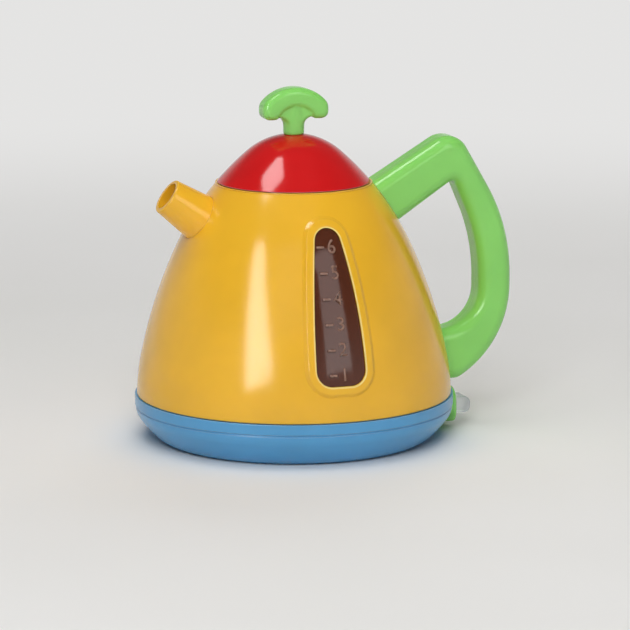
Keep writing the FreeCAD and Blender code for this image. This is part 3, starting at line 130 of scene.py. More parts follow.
# See-through plastic, and the fine structure of metal
CLEAR_FLOW_SCALE = 40
CLEAR_HAZE_SCALE = 300
CLEAR_RIPPLE_SCALE = 90
CLEAR_RIPPLE_DEPTH = 0.00002
STREAK_SCALE = 900

# The scale on the window, as in the source of the CAD
TOP_NUMBER = 6
TOP_NUMBER_HEIGHT = 102.4 * MM
NUMBER_STEP = 11.56 * MM

# Its figures: the x of their middles, their size, the radius of their rounding and its steps, the
# share of that radius by which the outline is first thinned, and how near points are joined
NUMBER_MIDDLE = 1.5 * MM
NUMBER_SIZE = 8.8 * MM
NUMBER_ROUND = 0.5 * MM
NUMBER_ROUND_STEPS = 4
NUMBER_THINNING = 0.8
WELD = 0.002 * MM

# The marks beside the numbers, and how far the middles of their bars lie behind the solids' fronts
MARK_START = -6.0 * MM
MARK_LENGTH = 3.8 * MM
MARK_INSET = 0.02
MARK_STEPS = 8
MARK_TUBE = 0.64 * MM
MARK_SUNK = 0.44 * MM
TUBE_SIDES = 12

# The window's outline, as in the source of the CAD
WINDOW_TOP = 111.0 * MM
WINDOW_BOTTOM = 39.4 * MM
WINDOW_TOP_RADIUS = 6.5 * MM
WINDOW_CORNER_RADIUS = 7.5 * MM
WINDOW_HALF_WIDTH = 12.2 * MM
WINDOW_SIDE_RADIUS = 350.0 * MM
OUTLINE_STEPS = 20

# Where the body's skin is measured: the turn round the kettle, and the heights
SKIN_TURN = math.radians(60)
SKIN_BELOW_WINDOW = 8 * MM
SKIN_STEP = 1 * MM
SKIN_STEPS = 88

# Sections of the soft bezel and of the bead on its inner edge, which is painted pale as a
# highlight:
# outward from the window's outline, and above the body's skin, in millimetres
BEZEL_SECTION = [
    (-0.04, -0.5), (-0.04, 0.5), (0.02, 0.95), (0.2, 1.28), (0.55, 1.47), (1.1, 1.5),
    (1.8, 1.44), (2.6, 1.42), (3.1, 1.4), (3.5, 1.3), (3.9, 1.06), (4.2, 0.76),
    (4.5, 0.44), (4.85, 0.16), (5.3, -0.06), (5.3, -0.5),
]
BEAD_MIDDLE = (0.42, 1.1)
BEAD_RADIUS = 0.46
BEAD_SIDES = 14

# The bead on the body's top edge
RIM_HEIGHT = 125.62 * MM
RIM_INSET = 0.12 * MM
RIM_TUBE = 0.34 * MM
RIM_STEPS = 240

# The knob's rounding
SMOOTH_FACTOR = 0.5
KNOB_VOXEL = 0.35 * MM
KNOB_SMOOTHING = 45
KNOB_SWELL = 0.25 * MM

# The switch's collar: its opening, the middle and reach of the solid's rim, between which shares
# of that reach the widening sets in, how much wider and taller the rim gets, how quickly it slopes
# back, how far it moves forward, and the x behind which the solid keeps its shape
COLLAR_OPEN_HALF = 6.4 * MM
COLLAR_OPEN_TOP = 15.1 * MM
COLLAR_MIDDLE = 10.25 * MM
COLLAR_HALF_WIDTH = 10.5 * MM
COLLAR_HALF_HEIGHT = 7.25 * MM
COLLAR_CORNER_POWER = 3
COLLAR_RIM_START = 0.82
COLLAR_RIM_END = 0.88
COLLAR_WIDEN = 0.3
COLLAR_RAISE = 0.5
COLLAR_SLOPE = 20.0
COLLAR_PROUD = 0.8 * MM
COLLAR_FRONT = 78.0 * MM
COLLAR_VOXEL = 0.3 * MM
COLLAR_SMOOTHING = 8

# The return spring of the switch
SPRING_TURNS = 5
SPRING_WIRE = 0.25 * MM
SPRING_WIRE_SIDES = 10
SPRING_STEPS = 24


def srgb(red, green, blue):
    """Linear colour of a colour as a screen shows it, 0 to 255."""
    def linear(value):
        value = value / 255
        return value / 12.92 if value <= 0.04045 else ((value + 0.055) / 1.055) ** 2.4
    return linear(red), linear(green), linear(blue)


def scaled(colour, factor):
    return tuple(min(1.0, channel * factor) for channel in colour)


# Parts of a material

def new_material(name):
    material = bpy.data.materials.new(name)
    material.use_nodes = True
    return material, material.node_tree, material.node_tree.nodes["Principled BSDF"]


def noise(tree, scale, detail=2.0, stretch=(1, 1, 1)):
    """Noise fixed to the piece, with features of about 1 / scale metres."""
    place = tree.nodes.new("ShaderNodeTexCoord")
    mapping = tree.nodes.new("ShaderNodeMapping")
    mapping.inputs["Scale"].default_value = stretch
    texture = tree.nodes.new("ShaderNodeTexNoise")
    texture.inputs["Scale"].default_value = scale
    texture.inputs["Detail"].default_value = detail
    tree.links.new(place.outputs["Object"], mapping.inputs["Vector"])
    tree.links.new(mapping.outputs["Vector"], texture.inputs["Vector"])
    return texture.outputs["Fac"]


def between(tree, factor, low, high):
    """A number that follows a noise from low to high."""
    node = tree.nodes.new("ShaderNodeMapRange")
    node.inputs["From Min"].default_value = NOISE_LOW
    node.inputs["From Max"].default_value = NOISE_HIGH
    node.inputs["To Min"].default_value = low
    node.inputs["To Max"].default_value = high
    tree.links.new(factor, node.inputs["Value"])
    return node.outputs["Result"]


def blend_colours(tree, factor, first, second):
    """A colour between first, which may be another node's output, and second."""
    node = tree.nodes.new("ShaderNodeMix")
    node.data_type = "RGBA"
    inputs = [socket for socket in node.inputs if socket.type == "RGBA"]
    if isinstance(first, bpy.types.NodeSocket):
        tree.links.new(first, inputs[0])
    else:
        inputs[0].default_value = (*first, 1)
    inputs[1].default_value = (*second, 1)
    tree.links.new(factor, node.inputs["Factor"])
    return next(socket for socket in node.outputs if socket.type == "RGBA")


def uneven_colour(tree, texture, colour, low, high):
    """A colour that a noise moves between two multiples of it."""
    return blend_colours(
        tree, between(tree, texture, 0, 1), scaled(colour, low), scaled(colour, high),
    )


def uneven_gloss(tree, shader, texture, roughness, low, high):
    """Roughness that a noise moves between two multiples of it."""
    spread = between(tree, texture, roughness * low, roughness * high)
    tree.links.new(spread, shader.inputs["Roughness"])


def soft_edges(tree, radius):
    """Normals that round the sharp edges of a moulding a little."""
    node = tree.nodes.new("ShaderNodeBevel")
    node.samples = EDGE_SAMPLES
    node.inputs["Radius"].default_value = radius
    return node.outputs["Normal"]


def edge_share(tree, rounded):
    """The mask of the painted edge highlight: 0 on a smooth face, rising to EDGE_PALING where an
    edge turns sharply.
    """
    face = tree.nodes.new("ShaderNodeNewGeometry")
    agree = tree.nodes.new("ShaderNodeVectorMath")
    agree.operation = "DOT_PRODUCT"
    tree.links.new(face.outputs["Normal"], agree.inputs[0])
    tree.links.new(rounded, agree.inputs[1])
    share = tree.nodes.new("ShaderNodeMapRange")
    share.inputs["From Min"].default_value = EDGE_FLAT
    share.inputs["From Max"].default_value = EDGE_SHARP
    share.inputs["To Max"].default_value = EDGE_PALING
    tree.links.new(agree.outputs["Value"], share.inputs["Value"])
    return share.outputs["Result"]


def bump(tree, height, depth, below=None):
    """Normals of a relief that a noise draws, on top of the normals below."""
    node = tree.nodes.new("ShaderNodeBump")
    node.inputs["Strength"].default_value = 1.0
    node.inputs["Distance"].default_value = depth
    tree.links.new(height, node.inputs["Height"])
    if below is not None:
        tree.links.new(below, node.inputs["Normal"])
    return node.outputs["Normal"]


# Materials

def moulded_plastic(
    name, colour, roughness, ripple=0.00003, grain=0.000002, variation=0.05, edge=0.0006,
):
    """Glossy plastic: faint flow clouds in the colour, edges painted paler as a highlight, slow
    ripple, fine grain.
    """
    material, tree, shader = new_material(name)
    clouds = noise(tree, FLOW_SCALE, detail=3)
    body = uneven_colour(tree, clouds, colour, low=1 - variation, high=1 + variation)
    rounded = soft_edges(tree, edge)
    # Painted highlight: the edges are paled towards white, as the light catching them would show
    pale = tuple(channel * EDGE_PALE_SHARE + EDGE_PALE_BASE for channel in colour)
    painted_edge_highlight = blend_colours(tree, edge_share(tree, rounded), body, pale)
    tree.links.new(painted_edge_highlight, shader.inputs["Base Color"])
    haze = noise(tree, HAZE_SCALE, detail=4)
    uneven_gloss(tree, shader, haze, roughness, low=0.85, high=1.15)
    slow = bump(tree, noise(tree, RIPPLE_SCALE, detail=1), ripple, rounded)
    fine = bump(tree, noise(tree, GRAIN_SCALE, detail=2), grain, slow)
    tree.links.new(fine, shader.inputs["Normal"])
    shader.inputs["IOR"].default_value = PLASTIC_IOR
    shader.inputs["Subsurface Weight"].default_value = SCATTER_WEIGHT
    shader.inputs["Subsurface Radius"].default_value = SCATTER_RADIUS
    shader.inputs["Subsurface Scale"].default_value = SCATTER_SCALE
    return material


def see_through(name, colour, roughness, ior, clearness=1.0, edge=0.00045):
    """Clear or tinted moulded plastic, with a faint haze in its gloss."""
    material, tree, shader = new_material(name)
    clouds = noise(tree, CLEAR_FLOW_SCALE, detail=2)
    tint = uneven_colour(tree, clouds, colour, low=0.92, high=1.06)
    tree.links.new(tint, shader.inputs["Base Color"])
    haze = noise(tree, CLEAR_HAZE_SCALE, detail=3)
    uneven_gloss(tree, shader, haze, roughness, low=0.7, high=1.3)
    ripple = noise(tree, CLEAR_RIPPLE_SCALE, detail=1)
    slow = bump(tree, ripple, CLEAR_RIPPLE_DEPTH, soft_edges(tree, edge))
    tree.links.new(slow, shader.inputs["Normal"])
    shader.inputs["Transmission Weight"].default_value = clearness
    shader.inputs["IOR"].default_value = ior
    return material


def metal(name, colour, roughness, streak=(1, 1, 1), depth=0.000004):
    """Plated steel with fine streaks and uneven gloss."""
    material, tree, shader = new_material(name)
    streaks = noise(tree, STREAK_SCALE, detail=4, stretch=streak)
    tint = uneven_colour(tree, streaks, colour, low=0.82, high=1.1)
    tree.links.new(tint, shader.inputs["Base Color"])
    uneven_gloss(tree, shader, streaks, roughness, low=0.7, high=1.3)
    tree.links.new(bump(tree, streaks, depth), shader.inputs["Normal"])
    shader.inputs["Metallic"].default_value = 1.0
    return material


def dull(name, colour, roughness, scale, depth, variation=0.12):
    """A dull grained surface: paper, ferrite, board lacquer or resin."""
    material, tree, shader = new_material(name)
    grain = noise(tree, scale, detail=4)
    tint = uneven_colour(tree, grain, colour, low=1 - variation, high=1 + variation)
    tree.links.new(tint, shader.inputs["Base Color"])
    uneven_gloss(tree, shader, grain, roughness, low=0.85, high=1.1)
    tree.links.new(bump(tree, grain, depth), shader.inputs["Normal"])
    return material


YELLOW = srgb(243, 186, 44)
# Pale yellow, a painted highlight on the bead along the bezel's inner edge
HIGHLIGHT_YELLOW = srgb(252, 220, 122)
RED = srgb(212, 20, 22)
GREEN = srgb(141, 221, 107)
BLUE = srgb(84, 160, 211)
WINDOW_BROWN = srgb(110, 56, 34)
# A paler brown than the pane's, a painted highlight for the glints on the window's raised figures
# and marks
PALE_GLINT_BROWN = srgb(164, 124, 106)
CLEAR = srgb(236, 238, 240)
OFF_WHITE = srgb(226, 226, 221)
PAPER_SHADE = srgb(236, 235, 232)
PAPER_LIGHT = srgb(241, 240, 238)
PLAIN_FLOOR = (1, 0.995, 0.985, 1)

# Each slot's material: its colour and roughness, then a see-through plastic's refraction, or the
# scale and depth of a dull surface's grain
MATERIALS = {
    "yellow_plastic": moulded_plastic("yellow_plastic_fine", YELLOW, 0.165),
    "red_plastic": moulded_plastic("red_plastic_fine", RED, 0.11),
    "green_plastic": moulded_plastic("green_plastic_fine", GREEN, 0.15),
    "blue_plastic": moulded_plastic("blue_plastic_fine", BLUE, 0.22),
    "window_plastic": see_through(
        "window_plastic_fine", WINDOW_BROWN, 0.08, 1.49, clearness=0.45,
    ),
    "clear_plastic": see_through("clear_plastic_fine", CLEAR, 0.1, 1.49, clearness=0.65),
    "inner_plastic": moulded_plastic("inner_plastic_fine", OFF_WHITE, 0.45, grain=0.00001),
    "screw_steel": metal("screw_steel_fine", srgb(196, 197, 199), 0.3),
    "contact_steel": metal("contact_steel_fine", srgb(212, 212, 210), 0.26, streak=(4, 1, 1)),
    "cell_wrap": moulded_plastic("cell_wrap_fine", srgb(36, 37, 40), 0.25, variation=0.15),
    "speaker_steel": dull("speaker_steel_fine", srgb(46, 46, 48), 0.45, 1500, 0.00001),
    "speaker_paper": dull("speaker_paper_fine", srgb(40, 40, 41), 0.9, 1800, 0.00006, 0.25),
    "magnet_iron": dull("magnet_iron_fine", srgb(84, 84, 86), 0.6, 1200, 0.00003, 0.2),
    "board_green": dull("board_green_fine", srgb(28, 98, 58), 0.4, 700, 0.00001, 0.15),
    "black_resin": dull("black_resin_fine", srgb(24, 24, 25), 0.35, 900, 0.00002, 0.2),
    "lamp_plastic": see_through("lamp_plastic_fine", srgb(214, 40, 34), 0.1, 1.5),
}

# The frosted relief on the window, paler than the pane as a painted highlight for its glints, and
# the bead on the bezel's inner edge, pale yellow as a painted highlight
FROSTED_HIGHLIGHT = see_through(
    "frosted_highlight_plastic_fine", PALE_GLINT_BROWN, 0.25, 1.49, clearness=0.3, edge=0.0002,
)
# The bezel's inner edge bead, in pale yellow as a painted highlight
PAINTED_HIGHLIGHT_EDGE = moulded_plastic("painted_highlight_edge_fine", HIGHLIGHT_YELLOW, 0.14)


def slot_of(material):
    """The record's slot that a packed material belongs to."""
    return material.name.split(".")[0]


def dress_cad_nodes():
    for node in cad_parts.values():
        for place in node.material_slots:
            place.material = MATERIALS[slot_of(place.material)]


# Building pieces

def shade_smooth(mesh):
    for polygon in mesh.polygons:
        polygon.use_smooth = True


def smooth_mesh(name, vertices, faces):
    mesh = bpy.data.meshes.new(name)
    mesh.from_pydata(vertices, [], faces)
    shade_smooth(mesh)
    return mesh


def evaluated_mesh(holder):
    """The mesh that an object gives with its modifiers. The object is removed."""
    bpy.context.scene.collection.objects.link(holder)
    bpy.context.view_layer.update()
    graph = bpy.context.evaluated_depsgraph_get()
    mesh = bpy.data.meshes.new_from_object(holder.evaluated_get(graph))
    bpy.data.objects.remove(holder)
    return mesh


def add_piece(mesh, slot, body, material=None):
    """A piece named as its mesh, in its slot's material unless another is given."""
    mesh.materials.append(material or MATERIALS[slot])
    piece = bpy.data.objects.new(mesh.name, mesh)
    bpy.context.scene.collection.objects.link(piece)
    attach(piece, body)
    return piece


def surface_front(node, x, z):
    """The y of a CAD node's front surface at x and z."""
    hit, place, _, _ = node.ray_cast(Vector((x, -RAY_START, z)), Vector((0, 1, 0)))
    if not hit:
        raise ValueError(f"nothing of the node at {x:.4f}, {z:.4f}")
    return place.y


def tube_mesh(name, path, radius, sides, closed):
    """A round tube along a path of points, which turns little between neighbours."""
    count = len(path)
    vertices = []
    for index, point in enumerate(path):
        if closed:
            ahead, behind = path[(index + 1) % count], path[index - 1]
        else:
            ahead, behind = path[min(index + 1, count - 1)], path[max(index - 1, 0)]
        along = (ahead - behind).normalized()
        across = along.cross(UP).normalized()
        rise = across.cross(along)
        for side in range(sides):
            turn = math.tau * side / sides
            sideways = across * (radius * math.cos(turn))
            vertices.append(point + sideways + rise * (radius * math.sin(turn)))
    faces = []
    for index in range(count if closed else count - 1):
        first = index * sides
        second = (index + 1) % count * sides
        for side in range(sides):
            other = (side + 1) % sides
            faces.append((first + side, first + other, second + other, second + side))
    if not closed:
        faces.append(tuple(reversed(range(sides))))
        faces.append(tuple(range((count - 1) * sides, count * sides)))
    return smooth_mesh(name, vertices, faces)


# Raised numbers and marks on the window

def number_mesh(figure):
    """The figure as a rounded bar on the xy plane, its middle at the origin, its back filled."""
    text = bpy.data.curves.new("figure_outline", "FONT")
    text.body = str(figure)
    text.size = NUMBER_SIZE
    text.align_x = "CENTER"
    text.align_y = "CENTER"
    text.fill_mode = "FRONT"
    text.offset = -NUMBER_ROUND * NUMBER_THINNING
    text.bevel_depth = NUMBER_ROUND
    text.bevel_resolution = NUMBER_ROUND_STEPS
    mesh = evaluated_mesh(bpy.data.objects.new("figure_holder", text))
    mesh.name = f"window_number_{figure}"
    shell = bmesh.new()
    shell.from_mesh(mesh)
    bmesh.ops.remove_doubles(shell, verts=shell.verts, dist=WELD)
    rims = [edge for edge in shell.edges if edge.is_boundary]
    bmesh.ops.holes_fill(shell, edges=rims)
    bmesh.ops.recalc_face_normals(shell, faces=shell.faces)
    shell.to_mesh(mesh)
    shell.free()
    return mesh


def window_number(pane, figure, height):
    """The raised figure, bent over the pane's front."""
    mesh = number_mesh(figure)
    for vertex in mesh.vertices:
        x = vertex.co.x + NUMBER_MIDDLE
        z = vertex.co.y + height
        relief = vertex.co.z
        vertex.co = (x, surface_front(pane, x, z) - relief, z)
    shade_smooth(mesh)
    # The figure takes the paler brown of a painted highlight
    add_piece(mesh, "window_plastic", "kettle", FROSTED_HIGHLIGHT)


def window_mark(pane, figure, height):
    """The rounded bar over one of the pane's marks."""
    path = []
    for step in range(MARK_STEPS + 1):
        share = MARK_INSET + (1 - 2 * MARK_INSET) * step / MARK_STEPS
        x = MARK_START + MARK_LENGTH * share
        path.append(Vector((x, surface_front(pane, x, height) + MARK_SUNK, height)))
    mesh = tube_mesh(f"window_mark_{figure}", path, MARK_TUBE, TUBE_SIDES, closed=False)
    # The mark takes the paler brown of a painted highlight
    add_piece(mesh, "window_plastic", "kettle", FROSTED_HIGHLIGHT)


def window_scale():
    """The raised figures and the marks beside them, from the top down."""
    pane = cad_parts["window_pane"]
    for row in range(TOP_NUMBER):
        height = TOP_NUMBER_HEIGHT - row * NUMBER_STEP
        window_mark(pane, TOP_NUMBER - row, height)
        window_number(pane, TOP_NUMBER - row, height)


# The trim round the window and under the lid

def body_rim():
    """The rounded bead on the body's top edge, just under the lid."""
    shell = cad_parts["body_shell"]
    radius = -surface_front(shell, 0, RIM_HEIGHT - RIM_TUBE) - RIM_INSET
    path = []
    for step in range(RIM_STEPS):
        turn = math.tau * step / RIM_STEPS
        path.append(Vector((radius * math.cos(turn), radius * math.sin(turn), RIM_HEIGHT)))
    mesh = tube_mesh("body_rim", path, RIM_TUBE, TUBE_SIDES, closed=True)
    add_piece(mesh, "yellow_plastic", "kettle")


def arc_points(centre, radius, start, end):
    """Points along an arc with their angles, from the angle start up to, but not at, end."""
    points = []
    for step in range(OUTLINE_STEPS):
        angle = start + (end - start) * step / OUTLINE_STEPS
        x = centre[0] + radius * math.cos(angle)
        z = centre[1] + radius * math.sin(angle)
        points.append((x, z, angle))
    return points


def window_outline():
    """The window's outline from its peak down the right and up the left: x, z, outward angle."""
    top = Vector((0, WINDOW_TOP - WINDOW_TOP_RADIUS))
    corner = Vector(
        (WINDOW_HALF_WIDTH - WINDOW_CORNER_RADIUS, WINDOW_BOTTOM + WINDOW_CORNER_RADIUS)
    )
    to_top = WINDOW_SIDE_RADIUS - WINDOW_TOP_RADIUS
    to_corner = WINDOW_SIDE_RADIUS - WINDOW_CORNER_RADIUS
    span = (top - corner).length
    along = (to_corner ** 2 - to_top ** 2 + span ** 2) / (2 * span)
    aside = math.sqrt(to_corner ** 2 - along ** 2)
    upward = (top - corner).normalized()
    side = corner + upward * along + Vector((-upward.y, upward.x)) * aside
    high = math.atan2(top.y - side.y, top.x - side.x)
    low = math.atan2(corner.y - side.y, corner.x - side.x)
    right = arc_points(top, WINDOW_TOP_RADIUS, math.pi / 2, high)
    right += arc_points(side, WINDOW_SIDE_RADIUS, high, low)
    right += arc_points(corner, WINDOW_CORNER_RADIUS, low, -math.pi / 2)
    right.append((corner.x, WINDOW_BOTTOM, -math.pi / 2))
    left = [(-x, z, math.pi - angle) for x, z, angle in reversed(right[1:])]
    return right + left


def skin_profile():
    """Heights down the body's side, away from window, handle and spout, and the radii there."""
    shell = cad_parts["body_shell"]
    lowest = WINDOW_BOTTOM - SKIN_BELOW_WINDOW
    heights = [lowest + step * SKIN_STEP for step in range(SKIN_STEPS)]
    side = Vector((math.cos(SKIN_TURN), -math.sin(SKIN_TURN), 0))
    radii = []
    for height in heights:
        _, place, _, _ = shell.ray_cast(side * RAY_START + Vector((0, 0, height)), -side)
        radii.append(math.hypot(place.x, place.y))
    return heights, radii


def skin_radius(profile, height):
    """The skin's radius at a height, between the measured ones."""
    heights, radii = profile
    position = (height - heights[0]) / (heights[1] - heights[0])
    index = min(max(int(position), 0), len(heights) - 2)
    share = position - index
    return radii[index] * (1 - share) + radii[index + 1] * share


def outline_ring(name, section, slot, material=None):
    """A ring round the window, whose closed section is given outward and above the body's skin."""
    profile = skin_profile()
    outline = window_outline()
    count, sides = len(outline), len(section)
    vertices = []
    for x, z, angle in outline:
        for outward, above in section:
            place_x = x + outward * MM * math.cos(angle)
            place_z = z + outward * MM * math.sin(angle)
            reach = skin_radius(profile, place_z) + above * MM
            vertices.append((place_x, -math.sqrt(reach ** 2 - place_x ** 2), place_z))
    faces = []
    for index in range(count):
        first, second = index * sides, (index + 1) % count * sides
        for edge in range(sides):
            other = (edge + 1) % sides
            faces.append((first + edge, second + edge, second + other, first + other))
    return add_piece(smooth_mesh(name, vertices, faces), slot, "kettle", material)


def soft_bezel():
    """The raised frame round the window, with soft slopes and an inner edge bead painted pale as a
    highlight.
    """
    outline_ring("window_bezel", BEZEL_SECTION, "yellow_plastic")
    bead = []
    for side in range(BEAD_SIDES):
        angle = math.tau * side / BEAD_SIDES
        outward = BEAD_MIDDLE[0] - BEAD_RADIUS * math.cos(angle)
        bead.append((outward, BEAD_MIDDLE[1] + BEAD_RADIUS * math.sin(angle)))
    # The bead takes the pale yellow of a painted highlight
    outline_ring("window_edge", bead, "yellow_plastic", PAINTED_HIGHLIGHT_EDGE)


# Pieces that replace nodes of the CAD

def soft_copy(node, name, voxel, smoothing, swell=0.0, shape=None):
    """A CAD node's mesh with its edges and hollows rounded as the mould rounds them."""
    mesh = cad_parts[node].data.copy()
    if shape is not None:
        for vertex in mesh.vertices:
            vertex.co = shape(vertex.co)
    copy = bpy.data.objects.new("soft_copy", mesh)
    remesh = copy.modifiers.new("remesh", "REMESH")
    remesh.mode = "VOXEL"
    remesh.voxel_size = voxel
    smooth = copy.modifiers.new("smooth", "SMOOTH")
    smooth.factor = SMOOTH_FACTOR
    smooth.iterations = smoothing
    if swell:
        grown = copy.modifiers.new("swell", "DISPLACE")
        grown.mid_level = 0.0
        grown.strength = swell
    result = evaluated_mesh(copy)
    result.name = name
    result.materials.clear()
    shade_smooth(result)
    return result


def soft_knob():
    """The knob, with softer edges than its solid's."""
    mesh = soft_copy("lid_knob", "knob_soft", KNOB_VOXEL, KNOB_SMOOTHING, swell=KNOB_SWELL)
    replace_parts(add_piece(mesh, "green_plastic", "lid_unit"), "lid_knob")


def lens_shape(point):
    """Where a point of the collar's solid goes in the larger collar with a sloping rim."""
    if point.x < COLLAR_FRONT:
        return point
    over = point.z - COLLAR_MIDDLE
    reach = (
        abs(point.y / COLLAR_HALF_WIDTH) ** COLLAR_CORNER_POWER
        + abs(over / COLLAR_HALF_HEIGHT) ** COLLAR_CORNER_POWER
    ) ** (1 / COLLAR_CORNER_POWER)
    share = (reach - COLLAR_RIM_START) / (COLLAR_RIM_END - COLLAR_RIM_START)
    share = min(max(share, 0.0), 1.0)
    y = point.y * (1 + COLLAR_WIDEN * share)
    z = COLLAR_MIDDLE + over * (1 + COLLAR_RAISE * share) if over > 0 else point.z
    aside = max(0.0, abs(y) - COLLAR_OPEN_HALF)
    above = max(0.0, z - COLLAR_OPEN_TOP)
    return Vector((point.x + COLLAR_PROUD - COLLAR_SLOPE * (aside ** 2 + above ** 2), y, z))


def lens_collar():
    """The switch's collar, whose rim reaches further along and up the band than the solid's."""
    mesh = soft_copy(
        "switch_bezel", "switch_collar", COLLAR_VOXEL, COLLAR_SMOOTHING, shape=lens_shape,
    )
    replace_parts(add_piece(mesh, "green_plastic", "kettle"), "switch_bezel")


def return_spring():
    """The coil spring over the lever's tail, which the lever squeezes as it turns."""
    low, high = (Vector(corner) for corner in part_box("switch_spring"))
    middle = (low + high) / 2
    radius = (high.x - low.x) / 2 - SPRING_WIRE
    bottom = low.z + SPRING_WIRE
    rise = high.z - low.z - 2 * SPRING_WIRE
    count = SPRING_TURNS * SPRING_STEPS
    path = []
    for step in range(count + 1):
        share = step / count
        turn = math.tau * SPRING_TURNS * share
        x = middle.x + radius * math.cos(turn)
        y = middle.y + radius * math.sin(turn)
        path.append(Vector((x, y, bottom + rise * share)))
    mesh = tube_mesh("return_spring", path, SPRING_WIRE, SPRING_WIRE_SIDES, closed=False)
    piece = add_piece(mesh, "contact_steel", "kettle")
    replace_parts(piece, "switch_spring")
    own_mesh(piece)


# Stage

def combined(tree, operation, first, second, clamp=False):
    """The sum or product of two numbers."""
    node = tree.nodes.new("ShaderNodeMath")
    node.operation = operation
    node.use_clamp = clamp
    tree.links.new(first, node.inputs[0])
    tree.links.new(second, node.inputs[1])
    return node.outputs["Value"]


def seen_rays(tree):
    """1 for what the camera, a reflection or clear plastic shows, 0 for what lights a surface."""
    rays = tree.nodes.new("ShaderNodeLightPath").outputs
    direct = combined(tree, "ADD", rays["Is Camera Ray"], rays["Is Glossy Ray"])
    return combined(tree, "ADD", direct, rays["Is Transmission Ray"], clamp=True)


def pale_paper():
    """Pale paper that keeps the shadow near the kettle and turns plain pale further off."""
    material, tree, shader = new_material("pale_paper")
    cloud = between(tree, noise(tree, PAPER_CLOUD_SCALE, detail=2), 0, 1)
    paper = blend_colours(tree, cloud, PAPER_SHADE, PAPER_LIGHT)
    tree.links.new(paper, shader.inputs["Base Color"])
    grain = bump(tree, noise(tree, PAPER_GRAIN_SCALE, detail=3), PAPER_GRAIN_DEPTH)
    tree.links.new(grain, shader.inputs["Normal"])
    shader.inputs["Roughness"].default_value = PAPER_ROUGHNESS
    shader.inputs["Specular IOR Level"].default_value = PAPER_GLOSS
    place = tree.nodes.new("ShaderNodeTexCoord")
    distance = tree.nodes.new("ShaderNodeVectorMath")
    distance.operation = "LENGTH"
    tree.links.new(place.outputs["Object"], distance.inputs[0])
    share = tree.nodes.new("ShaderNodeMapRange")
    share.interpolation_type = "SMOOTHSTEP"
    share.inputs["From Min"].default_value = FLOOR_NEAR
    share.inputs["From Max"].default_value = FLOOR_FAR
    tree.links.new(distance.outputs["Value"], share.inputs["Value"])
    plain = tree.nodes.new("ShaderNodeEmission")
    plain.inputs["Color"].default_value = PLAIN_FLOOR
    plain.inputs["Strength"].default_value = FLOOR_FAR_WHITE
    mix = tree.nodes.new("ShaderNodeMixShader")
    amount = combined(tree, "MULTIPLY", share.outputs["Result"], seen_rays(tree))
    tree.links.new(amount, mix.inputs["Fac"])
    tree.links.new(shader.outputs["BSDF"], mix.inputs[1])
    tree.links.new(plain.outputs["Emission"], mix.inputs[2])
    tree.links.new(mix.outputs["Shader"], tree.nodes["Material Output"].inputs["Surface"])
    return material


def floor():
    """A round pale floor, wider than any view of the kettle reaches."""
    vertices = [(0, 0, 0)]
    for side in range(FLOOR_SIDES):
        turn = math.tau * side / FLOOR_SIDES
        vertices.append((FLOOR_RADIUS * math.cos(turn), FLOOR_RADIUS * math.sin(turn), 0))
    faces = [(0, 1 + side, 1 + (side + 1) % FLOOR_SIDES) for side in range(FLOOR_SIDES)]
    mesh = bpy.data.meshes.new("floor")
    mesh.from_pydata(vertices, [], faces)
    mesh.materials.append(pale_paper())
    ground = bpy.data.objects.new("floor", mesh)
    bpy.context.scene.collection.objects.link(ground)


def direction(azimuth, rise):
    """The unit vector at degrees round from the front and degrees above the floor."""
    turn = math.radians(azimuth)
    climb = math.radians(rise)
    return Vector((
        math.sin(turn) * math.cos(climb), -math.cos(turn) * math.cos(climb), math.sin(climb),
    ))


def seen_from_camera(azimuth, rise, distance):
    """A point by degrees right of the camera's side, degrees above the floor, and distance."""
    turn = Matrix.Rotation(math.radians(VIEW_AZIMUTH), 4, "Z")
    return KETTLE_MIDDLE + turn @ (direction(azimuth, rise) * distance)


def square_to(vector, left_out):
    """The part of a vector that is square to the direction left_out, one unit long."""
    return (vector - left_out * vector.dot(left_out)).normalized()


def softbox(name, place, facing, along, width, length, radiance):
    """A rectangular lamp at a place, its back towards facing, its length along along."""
    lamp = bpy.data.lights.new(name, "AREA")
    lamp.shape = "RECTANGLE"
    lamp.size = width
    lamp.size_y = length
    lamp.energy = radiance * math.pi * width * length
    turn = Matrix((along.cross(facing), along, facing)).transposed().to_4x4()
    holder = bpy.data.objects.new(name, lamp)
    holder.matrix_world = Matrix.Translation(place) @ turn
    holder.visible_camera = False
    bpy.context.scene.collection.objects.link(holder)
    return holder


def upright_softbox(name, azimuth, rise, distance, width, length, radiance):
    """A lamp that stands upright, whatever its height."""
    place = seen_from_camera(azimuth, rise, distance)
    facing = square_to(place - KETTLE_MIDDLE, UP)
    return softbox(name, place, facing, UP, width, length, radiance)


def aimed_softbox(name, azimuth, rise, distance, width, length, radiance):
    """A lamp that faces the kettle's middle."""
    place = seen_from_camera(azimuth, rise, distance)
    facing = (place - KETTLE_MIDDLE).normalized()
    return softbox(name, place, facing, square_to(UP, facing), width, length, radiance)


def strip_light():
    """The long lamp at the left that draws the highlight down the body."""
    low = seen_from_camera(*STRIP_LOW)
    high = seen_from_camera(*STRIP_HIGH)
    along = (high - low).normalized()
    middle = (low + high) / 2
    facing = square_to(middle - KETTLE_MIDDLE, along)
    length = (high - low).length
    return softbox("strip_light", middle, facing, along, STRIP_WIDTH, length, STRIP_RADIANCE)


def lights():
    """Three lamps that only draw highlights, and three that only give soft light."""
    for lamp in (strip_light(), upright_softbox(*WINDOW_LIGHT), aimed_softbox(*LID_LIGHT)):
        lamp.visible_diffuse = False
    for values in (KEY_LIGHT, TOP_LIGHT, BACK_LIGHT):
        aimed_softbox(*values).visible_glossy = False


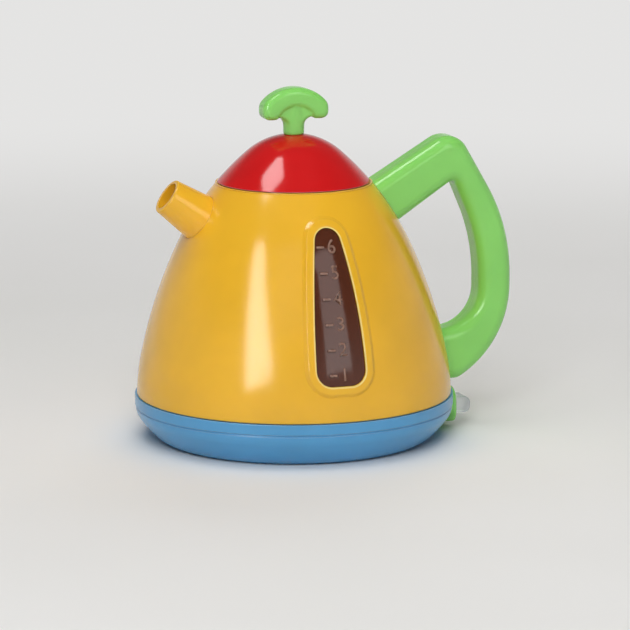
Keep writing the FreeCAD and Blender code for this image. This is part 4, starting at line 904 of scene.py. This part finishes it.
def sky():
    """White surroundings, dimmer overhead, that the camera sees as one pale tone."""
    world = bpy.context.scene.world or bpy.data.worlds.new("world")
    bpy.context.scene.world = world
    world.use_nodes = True
    tree = world.node_tree
    place = tree.nodes.new("ShaderNodeTexCoord")
    parts = tree.nodes.new("ShaderNodeSeparateXYZ")
    strength = tree.nodes.new("ShaderNodeMapRange")
    strength.interpolation_type = "SMOOTHSTEP"
    strength.inputs["From Min"].default_value = SKY_BAND_START
    strength.inputs["From Max"].default_value = SKY_BAND_TOP
    strength.inputs["To Min"].default_value = SKY_HORIZON
    strength.inputs["To Max"].default_value = SKY_OVERHEAD
    tree.links.new(place.outputs["Generated"], parts.inputs["Vector"])
    tree.links.new(parts.outputs["Z"], strength.inputs["Value"])
    share = tree.nodes.new("ShaderNodeMapRange")
    share.inputs["To Min"].default_value = SKY_FILL
    tree.links.new(seen_rays(tree), share.inputs["Value"])
    amount = combined(tree, "MULTIPLY", strength.outputs["Result"], share.outputs["Result"])
    camera_ray = tree.nodes.new("ShaderNodeLightPath").outputs["Is Camera Ray"]
    shown = tree.nodes.new("ShaderNodeMix")
    shown.inputs["B"].default_value = SKY_SEEN
    tree.links.new(camera_ray, shown.inputs["Factor"])
    tree.links.new(amount, shown.inputs["A"])
    background = tree.nodes["Background"]
    background.inputs["Color"].default_value = (1, 1, 1, 1)
    tree.links.new(shown.outputs["Result"], background.inputs["Strength"])


def camera():
    turn = math.radians(VIEW_AZIMUTH)
    towards = direction(VIEW_AZIMUTH, VIEW_ELEVATION)
    right = Vector((math.cos(turn), math.sin(turn), 0))
    up = towards.cross(right)
    lens = bpy.data.cameras.new("camera")
    lens.lens = LENS
    lens.sensor_width = SENSOR_WIDTH
    holder = bpy.data.objects.new("camera", lens)
    place = towards * VIEW_DISTANCE + right * VIEW_RIGHT + up * VIEW_UP
    facing = Matrix((right, up, towards)).transposed().to_4x4()
    holder.matrix_world = Matrix.Translation(place) @ facing
    bpy.context.scene.collection.objects.link(holder)
    bpy.context.scene.camera = holder


bpy.context.scene.view_settings.view_transform = "Standard"
dress_cad_nodes()
window_scale()
body_rim()
soft_bezel()
soft_knob()
lens_collar()
return_spring()
floor()
lights()
sky()
camera()
